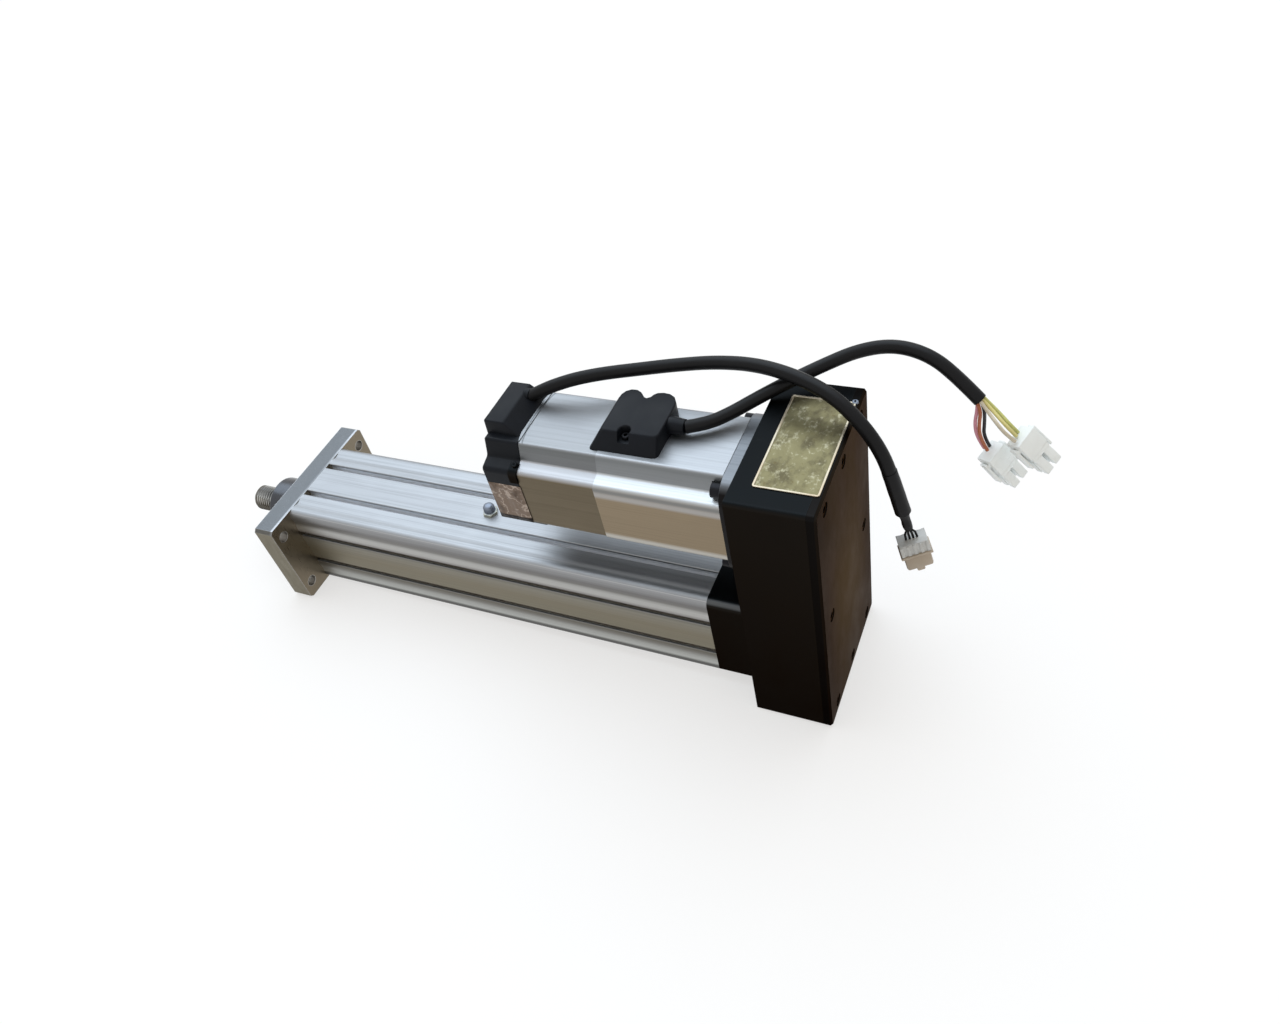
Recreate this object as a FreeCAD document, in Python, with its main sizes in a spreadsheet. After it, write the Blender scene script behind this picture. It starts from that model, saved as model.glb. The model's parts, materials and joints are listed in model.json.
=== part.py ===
import FreeCAD, Part
import math
import os
import re

import Sketcher
from FreeCAD import Placement, Rotation, Vector

# Electric cylinder with its servo motor folded back beside the tube and a toothed belt behind both.
# Millimetres. The origin is on the rod's axis at the front face of the mounting flange.
# +X is the way the rod moves out, +Z is up, and the motor lies above the tube.

# Driving dimensions. Each one is a cell of the sheet and is written only here.
SIZES = {
    "seat_gap": 0.02,
    "run_gap": 0.08,
    "hole_gap": 0.1,
    "flange_width": 130,
    "flange_thick": 18,
    "flange_chamfer": 2.5,
    "flange_bore": 29.5,
    "bolt_edge_side": 9,
    "bolt_edge_end": 13,
    "bolt_hole": 4.5,
    "tube_size": 82,
    "tube_length": 368,
    "tube_corner": 6,
    "tube_bore": 31,
    "keyway_width": 10,
    "keyway_depth": 3,
    "slot_offset": 16,
    "slot_mouth": 5,
    "slot_inner": 8,
    "slot_lip": 2,
    "slot_depth": 6.5,
    "corner_screw_offset": 31,
    "corner_screw": 4,
    "corner_head": 6.5,
    "corner_head_height": 8,
    "corner_head_sink": 0.5,
    "corner_grip": 18,
    "corner_socket": 3.5,
    "grease_place": 192,
    "grease_shank": 3,
    "grease_shank_length": 8,
    "grease_head": 6,
    "grease_head_height": 4,
    "grease_socket": 2.6,
    "head_length": 40,
    "head_pilot_length": 10,
    "bush_wall": 3,
    "rod_radius": 22.5,
    "rod_bore": 12,
    "rod_setback": 56,
    "rod_out": 37,
    "rod_edge": 1.5,
    "stud_radius": 11,
    "stud_root": 9,
    "stud_out": 29.5,
    "stud_depth": 26,
    "rod_end_wall": 12,
    "screw_radius": 10,
    "screw_tip_gap": 42,
    "nut_body": 18,
    "nut_flange": 27,
    "nut_flange_thick": 12,
    "nut_nose": 10,
    "nut_front": 18,
    "carrier_radius": 30.5,
    "carrier_length": 40,
    "carrier_socket": 20,
    "key_length": 20,
    "ring_width": 8,
    "ring_depth": 2.2,
    "ring_edge": 4,
    "block_length": 33,
    "block_bore": 15,
    "spigot_length": 6,
    "bearing_bore": 8.5,
    "bearing_split": 12,
    "bearing_outer": 20,
    "bearing_width": 12,
    "lock_nut_radius": 14,
    "lock_nut_width": 9,
    "lock_nut_notch": 4,
    "housing_width": 114,
    "housing_depth": 49,
    "housing_below": 52,
    "housing_above": 49.5,
    "housing_wall": 14,
    "housing_corner": 3,
    "housing_hub_hole": 17,
    "cavity_radius": 34,
    "cavity_screw_circle": 28.5,
    "cavity_screw": 3,
    "cavity_head": 5,
    "cavity_head_height": 6,
    "cavity_grip": 14,
    "cavity_socket": 2.9,
    "cover_thick": 6,
    "cover_edge": 1.5,
    "cover_inset_side": 17,
    "cover_inset_end": 10,
    "cover_screw": 2.5,
    "cover_head": 4.5,
    "cover_head_height": 3,
    "cover_head_sink": 0.6,
    "cover_grip": 10,
    "cover_socket": 2.3,
    "belt_pitch": 5,
    "belt_teeth": 75,
    "pulley_teeth": 30,
    "pitch_line": 0.6,
    "belt_back": 1.5,
    "belt_width": 20,
    "tooth_height": 1.2,
    "tooth_tip": 2.5,
    "tooth_base": 3.6,
    "tooth_gap": 0.12,
    "pulley_face": 21,
    "rim_thick": 1.5,
    "rim_height": 2.8,
    "hub_radius": 13,
    "hub_length": 6,
    "pulley_seat": 7.5,
    "washer_radius": 11,
    "washer_thick": 2,
    "end_screw": 3,
    "end_head": 5.5,
    "end_head_height": 2,
    "end_grip": 12,
    "motor_size": 80,
    "channel_top": 13,
    "channel_foot": 9.7,
    "channel_inner": 12.6,
    "channel_outer": 15.8,
    "channel_edge": 2.5,
    "channel_root": 2,
    "channel_side": 4,
    "motor_flange_thick": 11,
    "motor_flange_corner": 15,
    "motor_bolt_circle": 45,
    "motor_bolt": 3,
    "motor_bolt_head": 5,
    "motor_bolt_head_height": 6,
    "motor_bolt_grip": 12,
    "motor_bolt_socket": 2.9,
    "motor_bolt_room": 7,
    "pilot_radius": 35,
    "pilot_height": 3,
    "shaft_radius": 9.5,
    "shaft_rear": 7.5,
    "shaft_lip_hole": 12,
    "motor_bearing": 20,
    "motor_bearing_split": 14,
    "motor_bearing_width": 9,
    "rear_bearing": 16,
    "rear_bearing_split": 11,
    "stator_length": 86,
    "stator_bore": 33,
    "stator_stack": 70,
    "air_gap": 0.7,
    "rotor_radius": 22.5,
    "rotor_stack": 66,
    "brake_length": 57,
    "brake_step": 0.4,
    "brake_web": 12,
    "brake_coil_radius": 30,
    "brake_coil_width": 20,
    "brake_disc_radius": 28,
    "brake_disc_width": 6,
    "brake_gap": 0.5,
    "brake_clearance": 2,
    "brake_plate_width": 5,
    "cap_length": 26.5,
    "cap_wall": 5,
    "cap_bore": 30,
    "cap_block_width": 40,
    "cap_block_height": 9.5,
    "cap_block_length": 14,
    "cap_end_edge": 1.5,
    "cap_screw_side": 33.5,
    "cap_screw_up": 17,
    "cap_screw": 1.5,
    "cap_screw_head": 2.75,
    "cap_screw_head_height": 2.5,
    "cap_screw_grip": 30,
    "cap_screw_socket": 1.4,
    "blind_end": 1,
    "disc_radius": 17,
    "disc_thick": 2,
    "disc_place": 3,
    "board_thick": 2,
    "board_place": 8,
    "box_length": 47,
    "box_width": 47,
    "box_height": 12.5,
    "box_corner": 8,
    "box_slope": 9,
    "box_wall": 3,
    "box_overhang": 7.5,
    "box_notch_width": 8,
    "box_notch_depth": 7,
    "box_notch_floor": 6,
    "box_screw": 1.5,
    "box_screw_head": 3,
    "box_screw_head_height": 2.5,
    "power_exit_side": 3,
    "power_exit_up": 6.5,
    "power_gland_length": 12,
    "power_gland_radius": 5.8,
    "power_cable_radius": 4.3,
    "encoder_exit_side": 13,
    "encoder_exit_up": 5.4,
    "encoder_gland_length": 4,
    "encoder_gland_radius": 5.2,
    "encoder_cable_radius": 4.5,
    "gland_lip": 0.6,
    "sleeve_radius": 3.1,
    "sleeve_length": 23,
    "encoder_plug_width": 19,
    "encoder_plug_depth": 12,
    "encoder_plug_length": 24,
    "encoder_collar_width": 2.5,
    "encoder_collar_place": 11,
    "encoder_collar_step": 1.2,
    "wire_radius": 1.1,
    "wire_gap": 0.2,
    "wire_pitch": 2.6,
    "wire_plug_pitch": 3.9,
    "wire_lead": 9,
    "wire_bow_side": 2.2,
    "wire_bow_up": 1.5,
    "plug_width": 15,
    "plug_depth": 12,
    "plug_length": 17,
    "tower_length": 12,
    "tower_gap": 2,
    "latch_width": 5,
    "latch_step": 1.6,
}

# Places that follow from the driving dimensions, as formulas.
STATIONS = {
    "flange_back": "0 - flange_thick",
    "bolt_side": "flange_width / 2 - bolt_edge_side",
    "bolt_up": "tube_size / 2 - bolt_edge_end",
    "tube_rear": "flange_back - tube_length",
    "case_front": "tube_rear - block_length",
    "case_floor": "case_front - housing_wall",
    "case_rear": "case_front - housing_depth",
    "cover_rear": "case_rear - cover_thick",
    "pulley_front": "case_floor - hub_length - rim_thick",
    "pulley_rear": "pulley_front - pulley_face - rim_thick",
    "axis_spacing": "(belt_teeth - pulley_teeth) * belt_pitch / 2",
    "pitch_radius": "pulley_teeth * belt_pitch / (2 * pi)",
    "pulley_radius": "pitch_radius - pitch_line",
    "pulley_phase": "mod(belt_teeth - pulley_teeth; 2) * 180 / pulley_teeth",
    "stator_front": "case_front + motor_flange_thick",
    "brake_front": "stator_front + stator_length",
    "cap_front": "brake_front + brake_length",
    "cap_end": "cap_front + cap_length",
    "motor_top": "axis_spacing + motor_size / 2",
    "head_rear": "flange_back - head_length",
    "pilot_front": "flange_back + head_pilot_length",
    "pilot_outer": "flange_bore - seat_gap",
    "bush_outer": "rod_radius + bush_wall",
    "rod_rear": "tube_rear + rod_setback",
    "stud_rear": "rod_out - stud_depth",
    "stud_front": "rod_out + stud_out",
    "rod_bore_end": "stud_rear - rod_end_wall",
    "nut_seat": "rod_rear - carrier_socket",
    "shoulder": "case_front + 2 * bearing_width",
    "screw_front": "head_rear - screw_tip_gap",
    "web_end": "brake_front + brake_web",
    "coil_end": "web_end + brake_coil_width",
    "disc_front": "coil_end + brake_gap",
    "plate_front": "disc_front + brake_disc_width + brake_gap",
    "encoder_disc_front": "cap_front + disc_place",
    "board_front": "cap_front + board_place",
    "shaft_end": "encoder_disc_front + 2 * disc_thick",
    "end_thread": "pulley_rear + end_grip",
    "box_front": "brake_front + box_overhang",
    "box_rear": "box_front - box_length",
    "cap_block_rear": "cap_end - cap_block_length",
    "encoder_gland_tip": "cap_block_rear - encoder_gland_length",
    "encoder_exit": "motor_top + encoder_exit_up",
    "power_gland_tip": "box_rear - power_gland_length",
    "power_exit": "motor_top + power_exit_up",
    "motor_bolt_reach": "motor_bolt_circle * sqrt(0.5)",
    "cavity_screw_reach": "cavity_screw_circle * sqrt(0.5)",
    "cover_screw_side": "housing_width / 2 - cover_inset_side",
    "cover_screw_low": "cover_inset_end - housing_below",
    "cover_screw_high": "axis_spacing + housing_above - cover_inset_end",
}

# The cables' routes as steps from each strain relief's tip, chosen by hand, and how each plug is turned.
ENCODER_ROUTE = [
    (0, 0, 0), (-8, -2.8, 3.7), (-17.7, -6.7, 6.9), (-31, -12, 9.8), (-48.2, -20.1, 10.2),
    (-69.8, -27.8, 10.4), (-95.3, -33.5, 13), (-123.7, -34.3, 18.5), (-152.7, -30.1, 23.6),
    (-180.1, -22.2, 24.7), (-204.9, -13.7, 20.4), (-222.7, -5.9, 9.5), (-235.1, -1.5, -5.6),
    (-242.2, 1.1, -22.7), (-249.2, -0.8, -55.3),
]
POWER_ROUTE = [
    (0, 0, 0), (-14, -3.2, 1.2), (-28, -10, 4.6), (-41.5, -21.5, 9.6), (-56.5, -36, 13), (-73.5, -54, 16),
    (-92.5, -66.5, 20.5), (-113.5, -71, 23.6), (-134.9, -68, 21), (-152.5, -63, 10.5), (-166.5, -59, -1.6),
]
POWER_PLUG_BACK = (-175.5, -55, -38)
POWER_PLUG_WAY = Vector(-18.1, -4.3, -26)
BRAKE_PLUG_BACK = (-191.5, -51, -19)
BRAKE_PLUG_WAY = Vector(-18.5, -2.8, -21.9)
ENCODER_PLUG_ACROSS = Vector(-0.84, -0.55, 0)

doc = FreeCAD.newDocument("electric_cylinder")
sheet = doc.addObject("Spreadsheet::Sheet", "Sizes")
for row, (alias, number) in enumerate(SIZES.items(), start=1):
    sheet.set(f"A{row}", alias)
    sheet.set(f"B{row}", str(number))
    sheet.setAlias(f"B{row}", alias)
doc.recompute()

# The finished sub-parts by label, in the order they are made.
nodes = {}


def formula(text):
    """Write a station or size formula with the sheet's own cell names."""
    def swap(match):
        word = match.group()
        if word in STATIONS:
            return "(" + formula(STATIONS[word]) + ")"
        return "Sizes." + word if word in SIZES else word
    return re.sub(r"[a-z_][a-z_0-9]*", swap, text)


def size(name):
    """A driving dimension, read from the sheet."""
    return float(getattr(sheet, name))


def value(text):
    """A formula's value."""
    return float(sheet.evalExpression(formula(text)))


def bind(item, **fields):
    """Bind an object's properties to formulas."""
    for field, text in fields.items():
        item.setExpression(field.replace("__", "."), formula(text))


def keep(label, item):
    """Name a finished sub-part and list it for writing."""
    item.Label = label
    nodes[label] = item
    return item


# Sketches and features

def new_body(label):
    return keep(label, doc.addObject("PartDesign::Body", label))


def new_sketch(body, shapes, plane="YZ_Plane", at="0", side="0", up="0", turn=None):
    """A sketch on one of the body's own planes, shifted along its normal and in its plane."""
    sketch = body.newObject("Sketcher::SketchObject", body.Name + "_sketch")
    support = next(item for item in body.Origin.OriginFeatures if item.Role == plane)
    sketch.AttachmentSupport = [(support, "")]
    sketch.MapMode = "FlatFace"
    sketch.AttachmentOffset = Placement(Vector(), Rotation(Vector(0, 0, 1), 0))
    bind(sketch, AttachmentOffset__Base__x=side, AttachmentOffset__Base__y=up)
    bind(sketch, AttachmentOffset__Base__z=at)
    if turn:
        bind(sketch, AttachmentOffset__Rotation__Angle=turn)
    for draw in shapes:
        draw(sketch)
    return sketch


def pin(sketch, geometry, point, place):
    """Hold one point of a sketch at a place given by two formulas."""
    for kind, text in zip(("DistanceX", "DistanceY"), place):
        index = sketch.addConstraint(Sketcher.Constraint(kind, -1, 1, geometry, point, 1.0))
        sketch.setExpression(f"Constraints[{index}]", formula(text))


def outline(*places):
    """A closed outline of straight lines through the given places."""
    count = len(places)
    angles = [math.tau * k / count for k in range(count)]
    guesses = [Vector(math.cos(angle), math.sin(angle), 0) for angle in angles]

    def draw(sketch):
        first = sketch.GeometryCount
        lines = [Part.LineSegment(guesses[k], guesses[(k + 1) % count]) for k in range(count)]
        sketch.addGeometry(lines, False)
        joins = [("Coincident", first + k, 2, first + (k + 1) % count, 1) for k in range(count)]
        sketch.addConstraint([Sketcher.Constraint(*join) for join in joins])
        for k, place in enumerate(places):
            pin(sketch, first + k, 1, place)
    return draw


def rectangle(left, right, low, high):
    return outline((left, low), (right, low), (right, high), (left, high))


def centred(half_wide, half_tall):
    return rectangle(f"-({half_wide})", half_wide, f"-({half_tall})", half_tall)


def circle(radius, across="0", up="0"):
    def draw(sketch):
        index = sketch.addGeometry(Part.Circle(Vector(0, 0, 0), Vector(0, 0, 1), 1.0), False)
        pin(sketch, index, 3, (across, up))
        held = sketch.addConstraint(Sketcher.Constraint("Radius", index, 1.0))
        sketch.setExpression(f"Constraints[{held}]", formula(radius))
    return draw


def circles(radius, places):
    return [circle(radius, across, up) for across, up in places]


def four(across, up):
    """The four places at plus and minus across and up."""
    return [(f"{a}({across})", f"{b}({up})") for a in ("", "-") for b in ("", "-")]


def pad(body, sketch, length):
    feature = body.newObject("PartDesign::Pad", body.Name + "_pad")
    feature.Profile = sketch
    bind(feature, Length=length)
    doc.recompute()
    return feature


def pocket(body, sketch, length):
    """Cut from the sketch against its normal, and make sure that something was cut."""
    before = body.Shape.Volume
    feature = body.newObject("PartDesign::Pocket", body.Name + "_pocket")
    feature.Profile = sketch
    bind(feature, Length=length)
    doc.recompute()
    if feature.Shape.Volume > before - 1e-6:
        raise RuntimeError(f"{body.Label}: a pocket cut nothing")
    return feature


def revolve(label, profile, up="0", at="0"):
    """A turned piece about an axis along X, from its half profile of (x, radius) places."""
    body = new_body(label)
    sketch = new_sketch(body, [outline(*profile)], plane="XZ_Plane", at=at, up=up)
    feature = body.newObject("PartDesign::Revolution", label + "_turn")
    feature.Profile = sketch
    feature.ReferenceAxis = (sketch, ["H_Axis"])
    feature.Angle = 360
    doc.recompute()
    return body


def round_pattern(body, feature, sketch, count):
    pattern = body.newObject("PartDesign::PolarPattern", body.Name + "_pattern")
    pattern.Originals = [feature]
    pattern.Axis = (sketch, ["N_Axis"])
    pattern.Angle = 360
    bind(pattern, Occurrences=count)
    body.Tip = pattern
    doc.recompute()
    return pattern


def corner_edges(shape, axis):
    """Straight edges along one axis at the corners of the shape's box."""
    box = shape.BoundBox
    others = [k for k in range(3) if k != axis]
    low = (box.XMin, box.YMin, box.ZMin)
    high = (box.XMax, box.YMax, box.ZMax)
    names = []
    for number, edge in enumerate(shape.Edges, start=1):
        middle = edge.CenterOfMass
        spread = (edge.BoundBox.XLength, edge.BoundBox.YLength, edge.BoundBox.ZLength)
        along = all(spread[k] < 1e-4 for k in others)
        outer = all(min(abs(middle[k] - low[k]), abs(middle[k] - high[k])) < 1e-4 for k in others)
        if along and outer:
            names.append(f"Edge{number}")
    return names


def end_edges(shape, x):
    """All edges of the face at one end of a shape."""
    names = []
    for number, edge in enumerate(shape.Edges, start=1):
        box = edge.BoundBox
        if abs(box.XMin - x) < 1e-4 and box.XLength < 1e-4:
            names.append(f"Edge{number}")
    return names


def rim_edges(shape, x):
    """The outer edges of the face at one end of a shape."""
    box = shape.BoundBox
    names = []
    for number, edge in enumerate(shape.Edges, start=1):
        at_end = abs(edge.BoundBox.XMin - x) < 1e-4 and edge.BoundBox.XLength < 1e-4
        point = edge.valueAt((edge.FirstParameter + edge.LastParameter) / 2)
        outer = max(abs(point.y) / box.YMax, (point.z - box.Center.z) / (box.ZLength / 2)) > 0.97
        lower = (box.Center.z - point.z) / (box.ZLength / 2) > 0.97
        if at_end and (outer or lower):
            names.append(f"Edge{number}")
    return names


def dress(body, kind, field, edges, text):
    """Fillet or chamfer the named edges of the body's last feature."""
    feature = body.newObject("PartDesign::" + kind, f"{body.Name}_{kind.lower()}")
    feature.Base = (body.Tip if body.Tip != feature else feature.BaseFeature, edges)
    bind(feature, **{field: text})
    doc.recompute()
    return feature


def fillet(body, edges, text):
    return dress(body, "Fillet", "Radius", edges, text)


def chamfer(body, edges, text):
    return dress(body, "Chamfer", "Size", edges, text)


# Plain solids and groups of fasteners

def place_formulas(item, x, y, z):
    bind(item, Placement__Base__x=x, Placement__Base__y=y, Placement__Base__z=z)


def x_cylinder(name, radius, length, x, y, z):
    item = doc.addObject("Part::Cylinder", name)
    item.Placement = Placement(Vector(), Rotation(Vector(0, 1, 0), 90))
    bind(item, Radius=radius, Height=length)
    place_formulas(item, x, y, z)
    return item


def x_prism(name, radius, length, x, y, z):
    item = doc.addObject("Part::Prism", name)
    item.Polygon = 6
    item.Placement = Placement(Vector(), Rotation(Vector(0, 1, 0), 90))
    bind(item, Circumradius=radius, Height=length)
    place_formulas(item, x, y, z)
    return item


def combine(kind, name, base, tool):
    item = doc.addObject("Part::" + kind, name)
    item.Base = base
    item.Tool = tool
    return item


def socket_screws(label, places, seat, head_forward, screw, head, head_height, grip, socket):
    """Cap screws along X with their heads on the plane seat, as one group of separate solids."""
    screws = []
    for y, z in places:
        head_start = seat if head_forward else f"{seat} - {head_height}"
        grip_start = f"{seat} - ({grip})" if head_forward else seat
        depth = f"{head_height} / 2"
        socket_start = f"{seat} + {head_height} - {depth}" if head_forward else head_start
        cap = x_cylinder(label + "_head", head, head_height, head_start, y, z)
        shank = x_cylinder(label + "_shank", screw, grip, grip_start, y, z)
        key = x_prism(label + "_socket", socket, depth, socket_start, y, z)
        blank = combine("Fuse", label + "_blank", cap, shank)
        screws.append(combine("Cut", label + "_screw", blank, key))
    group = keep(label, doc.addObject("Part::Compound", label))
    group.Links = screws
    doc.recompute()


def rings(label, spans, up="0"):
    """Coaxial rings along X as one group: each span is (start, length, inner radius, outer radius)."""
    solids = []
    for start, length, inner, outer in spans:
        disc = x_cylinder(label + "_disc", outer, length, start, "0", up)
        hole = x_cylinder(label + "_hole", inner, length, start, "0", up)
        solids.append(combine("Cut", label + "_ring", disc, hole))
    group = keep(label, doc.addObject("Part::Compound", label))
    group.Links = solids
    doc.recompute()


# Cylinder: flange, tube, rod guide and rod

CORNERS = four("corner_screw_offset", "corner_screw_offset")


def make_front_flange():
    body = new_body("front_flange")
    holes = circles("bolt_hole", four("bolt_side", "bolt_up"))
    holes += circles("corner_screw + hole_gap", CORNERS)
    plate = [centred("flange_width / 2", "tube_size / 2"), circle("flange_bore")]
    base = pad(body, new_sketch(body, plate + holes, at="flange_back"), "flange_thick")
    chamfer(body, corner_edges(base.Shape, 0), "flange_chamfer")
    sinks = new_sketch(body, circles("corner_head + hole_gap", CORNERS))
    pocket(body, sinks, "corner_head_height + corner_head_sink")
    socket_screws("flange_screws", CORNERS, "(0 - corner_head_height - corner_head_sink)", True,
                  "corner_screw", "corner_head", "corner_head_height",
                  "flange_thick - corner_head_height - corner_head_sink + corner_grip", "corner_socket")


def make_tube():
    body = new_body("cylinder_tube")
    section = [centred("tube_size / 2", "tube_size / 2"), circle("tube_bore")]
    section += circles("corner_screw + hole_gap", CORNERS)
    base = pad(body, new_sketch(body, section, at="tube_rear"), "tube_length")
    fillet(body, corner_edges(base.Shape, 0), "tube_corner")
    keyway = new_sketch(body, [centred("tube_bore + keyway_depth", "keyway_width / 2")], at="flange_back")
    pocket(body, keyway, "tube_length")
    slots = []
    for middle in ("slot_offset", "0 - slot_offset"):
        face = "tube_size / 2"
        lip = "tube_size / 2 - slot_lip"
        floor = "tube_size / 2 - slot_depth"
        mouth = [f"{middle} {sign} slot_mouth / 2" for sign in "-+"]
        inner = [f"{middle} {sign} slot_inner / 2" for sign in "-+"]
        slots.append(outline((mouth[0], face), (mouth[0], lip), (inner[0], lip), (inner[0], floor),
                             (inner[1], floor), (inner[1], lip), (mouth[1], lip), (mouth[1], face)))
    slot_sketch = new_sketch(body, slots, at="flange_back")
    slot_pair = pocket(body, slot_sketch, "tube_length")
    round_pattern(body, slot_pair, slot_sketch, "4")
    grease_hole = new_sketch(body, [circle("grease_shank + hole_gap", "0 - grease_place")],
                             plane="XY_Plane", at="tube_size / 2")
    pocket(body, grease_hole, "tube_size / 2 - tube_bore + slot_lip")


def make_grease_plug():
    body = new_body("grease_plug")
    sketch = new_sketch(body, [outline(
        ("0", "0 - grease_shank_length"), ("grease_shank", "0 - grease_shank_length"), ("grease_shank", "0"),
        ("grease_head", "0"), ("grease_head", "grease_head_height / 2"),
        ("grease_head - grease_head_height / 2", "grease_head_height"),
        ("grease_socket", "grease_head_height"), ("grease_socket", "grease_head_height / 2"),
        ("0", "grease_head_height / 2"))],
        plane="XZ_Plane", side="0 - grease_place", up="tube_size / 2")
    feature = body.newObject("PartDesign::Revolution", "grease_plug_turn")
    feature.Profile = sketch
    feature.ReferenceAxis = (sketch, ["V_Axis"])
    feature.Angle = 360
    doc.recompute()


def make_rod_guide():
    revolve("front_head", [
        ("head_rear", "bush_outer"), ("pilot_front", "bush_outer"), ("pilot_front", "pilot_outer"),
        ("flange_back", "pilot_outer"), ("flange_back", "tube_bore - seat_gap"),
        ("head_rear", "tube_bore - seat_gap")])
    rings("rod_bush", [("head_rear", "head_length + head_pilot_length", "rod_radius + run_gap",
                        "bush_outer - seat_gap")])
    revolve("rod_wiper", [
        ("pilot_front", "rod_radius + run_gap"), ("0", "rod_radius + run_gap"),
        ("0", "rod_radius + bush_wall / 2"), ("0 - bush_wall / 2", "rod_radius + bush_wall"),
        ("0 - bush_wall / 2", "pilot_outer"), ("pilot_front", "pilot_outer")])


def make_rod():
    revolve("piston_rod", [
        ("rod_rear", "rod_bore"), ("rod_bore_end", "rod_bore"), ("rod_bore_end", "0"), ("stud_rear", "0"),
        ("stud_rear", "stud_root + seat_gap"), ("rod_out", "stud_root + seat_gap"),
        ("rod_out", "rod_radius - rod_edge"), ("rod_out - rod_edge", "rod_radius"),
        ("rod_rear", "rod_radius")])
    revolve("rod_stud", [
        ("stud_rear", "0"), ("stud_front", "0"), ("stud_front", "stud_radius - rod_edge"),
        ("stud_front - rod_edge", "stud_radius"), ("rod_out", "stud_radius"), ("rod_out", "stud_root"),
        ("stud_rear", "stud_root")])


def make_nut():
    flange_rear = "nut_seat - nut_flange_thick"
    nose = "nut_seat - nut_flange_thick - nut_nose"
    front = "nut_seat + nut_front"
    revolve("ball_nut", [
        (nose, "screw_radius + run_gap"), (front, "screw_radius + run_gap"), (front, "nut_body"),
        ("nut_seat", "nut_body"), ("nut_seat", "nut_flange"), (flange_rear, "nut_flange"),
        (flange_rear, "nut_body"), (nose, "nut_body")])
    body = new_body("piston_carrier")
    pad(body, new_sketch(body, [circle("carrier_radius")], at="nut_seat"), "carrier_length")
    keys = centred("tube_bore + keyway_depth - hole_gap", "keyway_width / 2 - hole_gap")
    pad(body, new_sketch(body, [keys], at="nut_seat"), "key_length")
    rod_hole = new_sketch(body, [circle("rod_radius + seat_gap")], at="nut_seat + carrier_length")
    pocket(body, rod_hole, "carrier_length - carrier_socket")
    pocket(body, new_sketch(body, [circle("nut_body + seat_gap")], at="rod_rear"), "carrier_socket")
    ring_front = "nut_seat + carrier_length - ring_edge"
    ring_rear = f"{ring_front} - ring_width"
    floor = "carrier_radius - ring_depth"
    groove = new_sketch(body, [circle("carrier_radius + ring_depth"), circle(floor)], at=ring_front)
    pocket(body, groove, "ring_width")
    rings("guide_ring", [(ring_rear, "ring_width", f"{floor} + seat_gap", "tube_bore - run_gap")])


# Drive end: bearing block, ball screw, belt housing, pulleys and belt

def make_rear_block():
    body = new_body("rear_block")
    section = [centred("tube_size / 2", "tube_size / 2"), circle("block_bore")]
    section += circles("corner_screw + hole_gap", CORNERS)
    base = pad(body, new_sketch(body, section, at="case_front"), "block_length")
    fillet(body, corner_edges(base.Shape, 0), "tube_corner")
    spigot = [circle("tube_bore - seat_gap"), circle("block_bore")]
    pad(body, new_sketch(body, spigot, at="tube_rear"), "spigot_length")
    pocket(body, new_sketch(body, [circle("bearing_outer + seat_gap")], at="shoulder"), "2 * bearing_width")
    sink = "corner_head_height + corner_head_sink"
    sinks = new_sketch(body, circles("corner_head + hole_gap", CORNERS), at=f"case_front + {sink}")
    pocket(body, sinks, sink)
    cavity_holes = circles("cavity_screw + hole_gap", four("cavity_screw_reach", "cavity_screw_reach"))
    pocket(body, new_sketch(body, cavity_holes, at="case_front + cavity_grip"), "cavity_grip")
    socket_screws("block_screws", CORNERS, f"(case_front + {sink})", False, "corner_screw", "corner_head",
                  "corner_head_height", f"block_length - {sink} + corner_grip", "corner_socket")


def make_screw_bearings():
    outer = []
    inner = []
    for start in ("case_front", "case_front + bearing_width"):
        outer.append((start, "bearing_width", "bearing_split + hole_gap", "bearing_outer"))
        inner.append((start, "bearing_width", "bearing_bore + seat_gap", "bearing_split"))
    rings("screw_bearings_outer", outer)
    rings("screw_bearings_inner", inner)


def make_ball_screw():
    revolve("ball_screw", [
        ("screw_front", "0"), ("screw_front", "screw_radius - rod_edge"),
        ("screw_front - rod_edge", "screw_radius"), ("shoulder", "screw_radius"),
        ("shoulder", "bearing_bore"), ("case_floor", "bearing_bore"), ("case_floor", "pulley_seat"),
        ("pulley_rear", "pulley_seat"), ("pulley_rear", "end_screw + hole_gap"),
        ("end_thread", "end_screw + hole_gap"), ("end_thread", "0")])
    body = new_body("screw_lock_nut")
    section = [circle("lock_nut_radius"), circle("bearing_bore + seat_gap")]
    pad(body, new_sketch(body, section, at="case_front - lock_nut_width"), "lock_nut_width")
    notch = [rectangle("lock_nut_radius - lock_nut_notch / 2", "lock_nut_radius + lock_nut_notch",
                       "0 - lock_nut_notch / 2", "lock_nut_notch / 2")]
    sketch = new_sketch(body, notch, at="case_front")
    round_pattern(body, pocket(body, sketch, "lock_nut_width"), sketch, "4")


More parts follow.
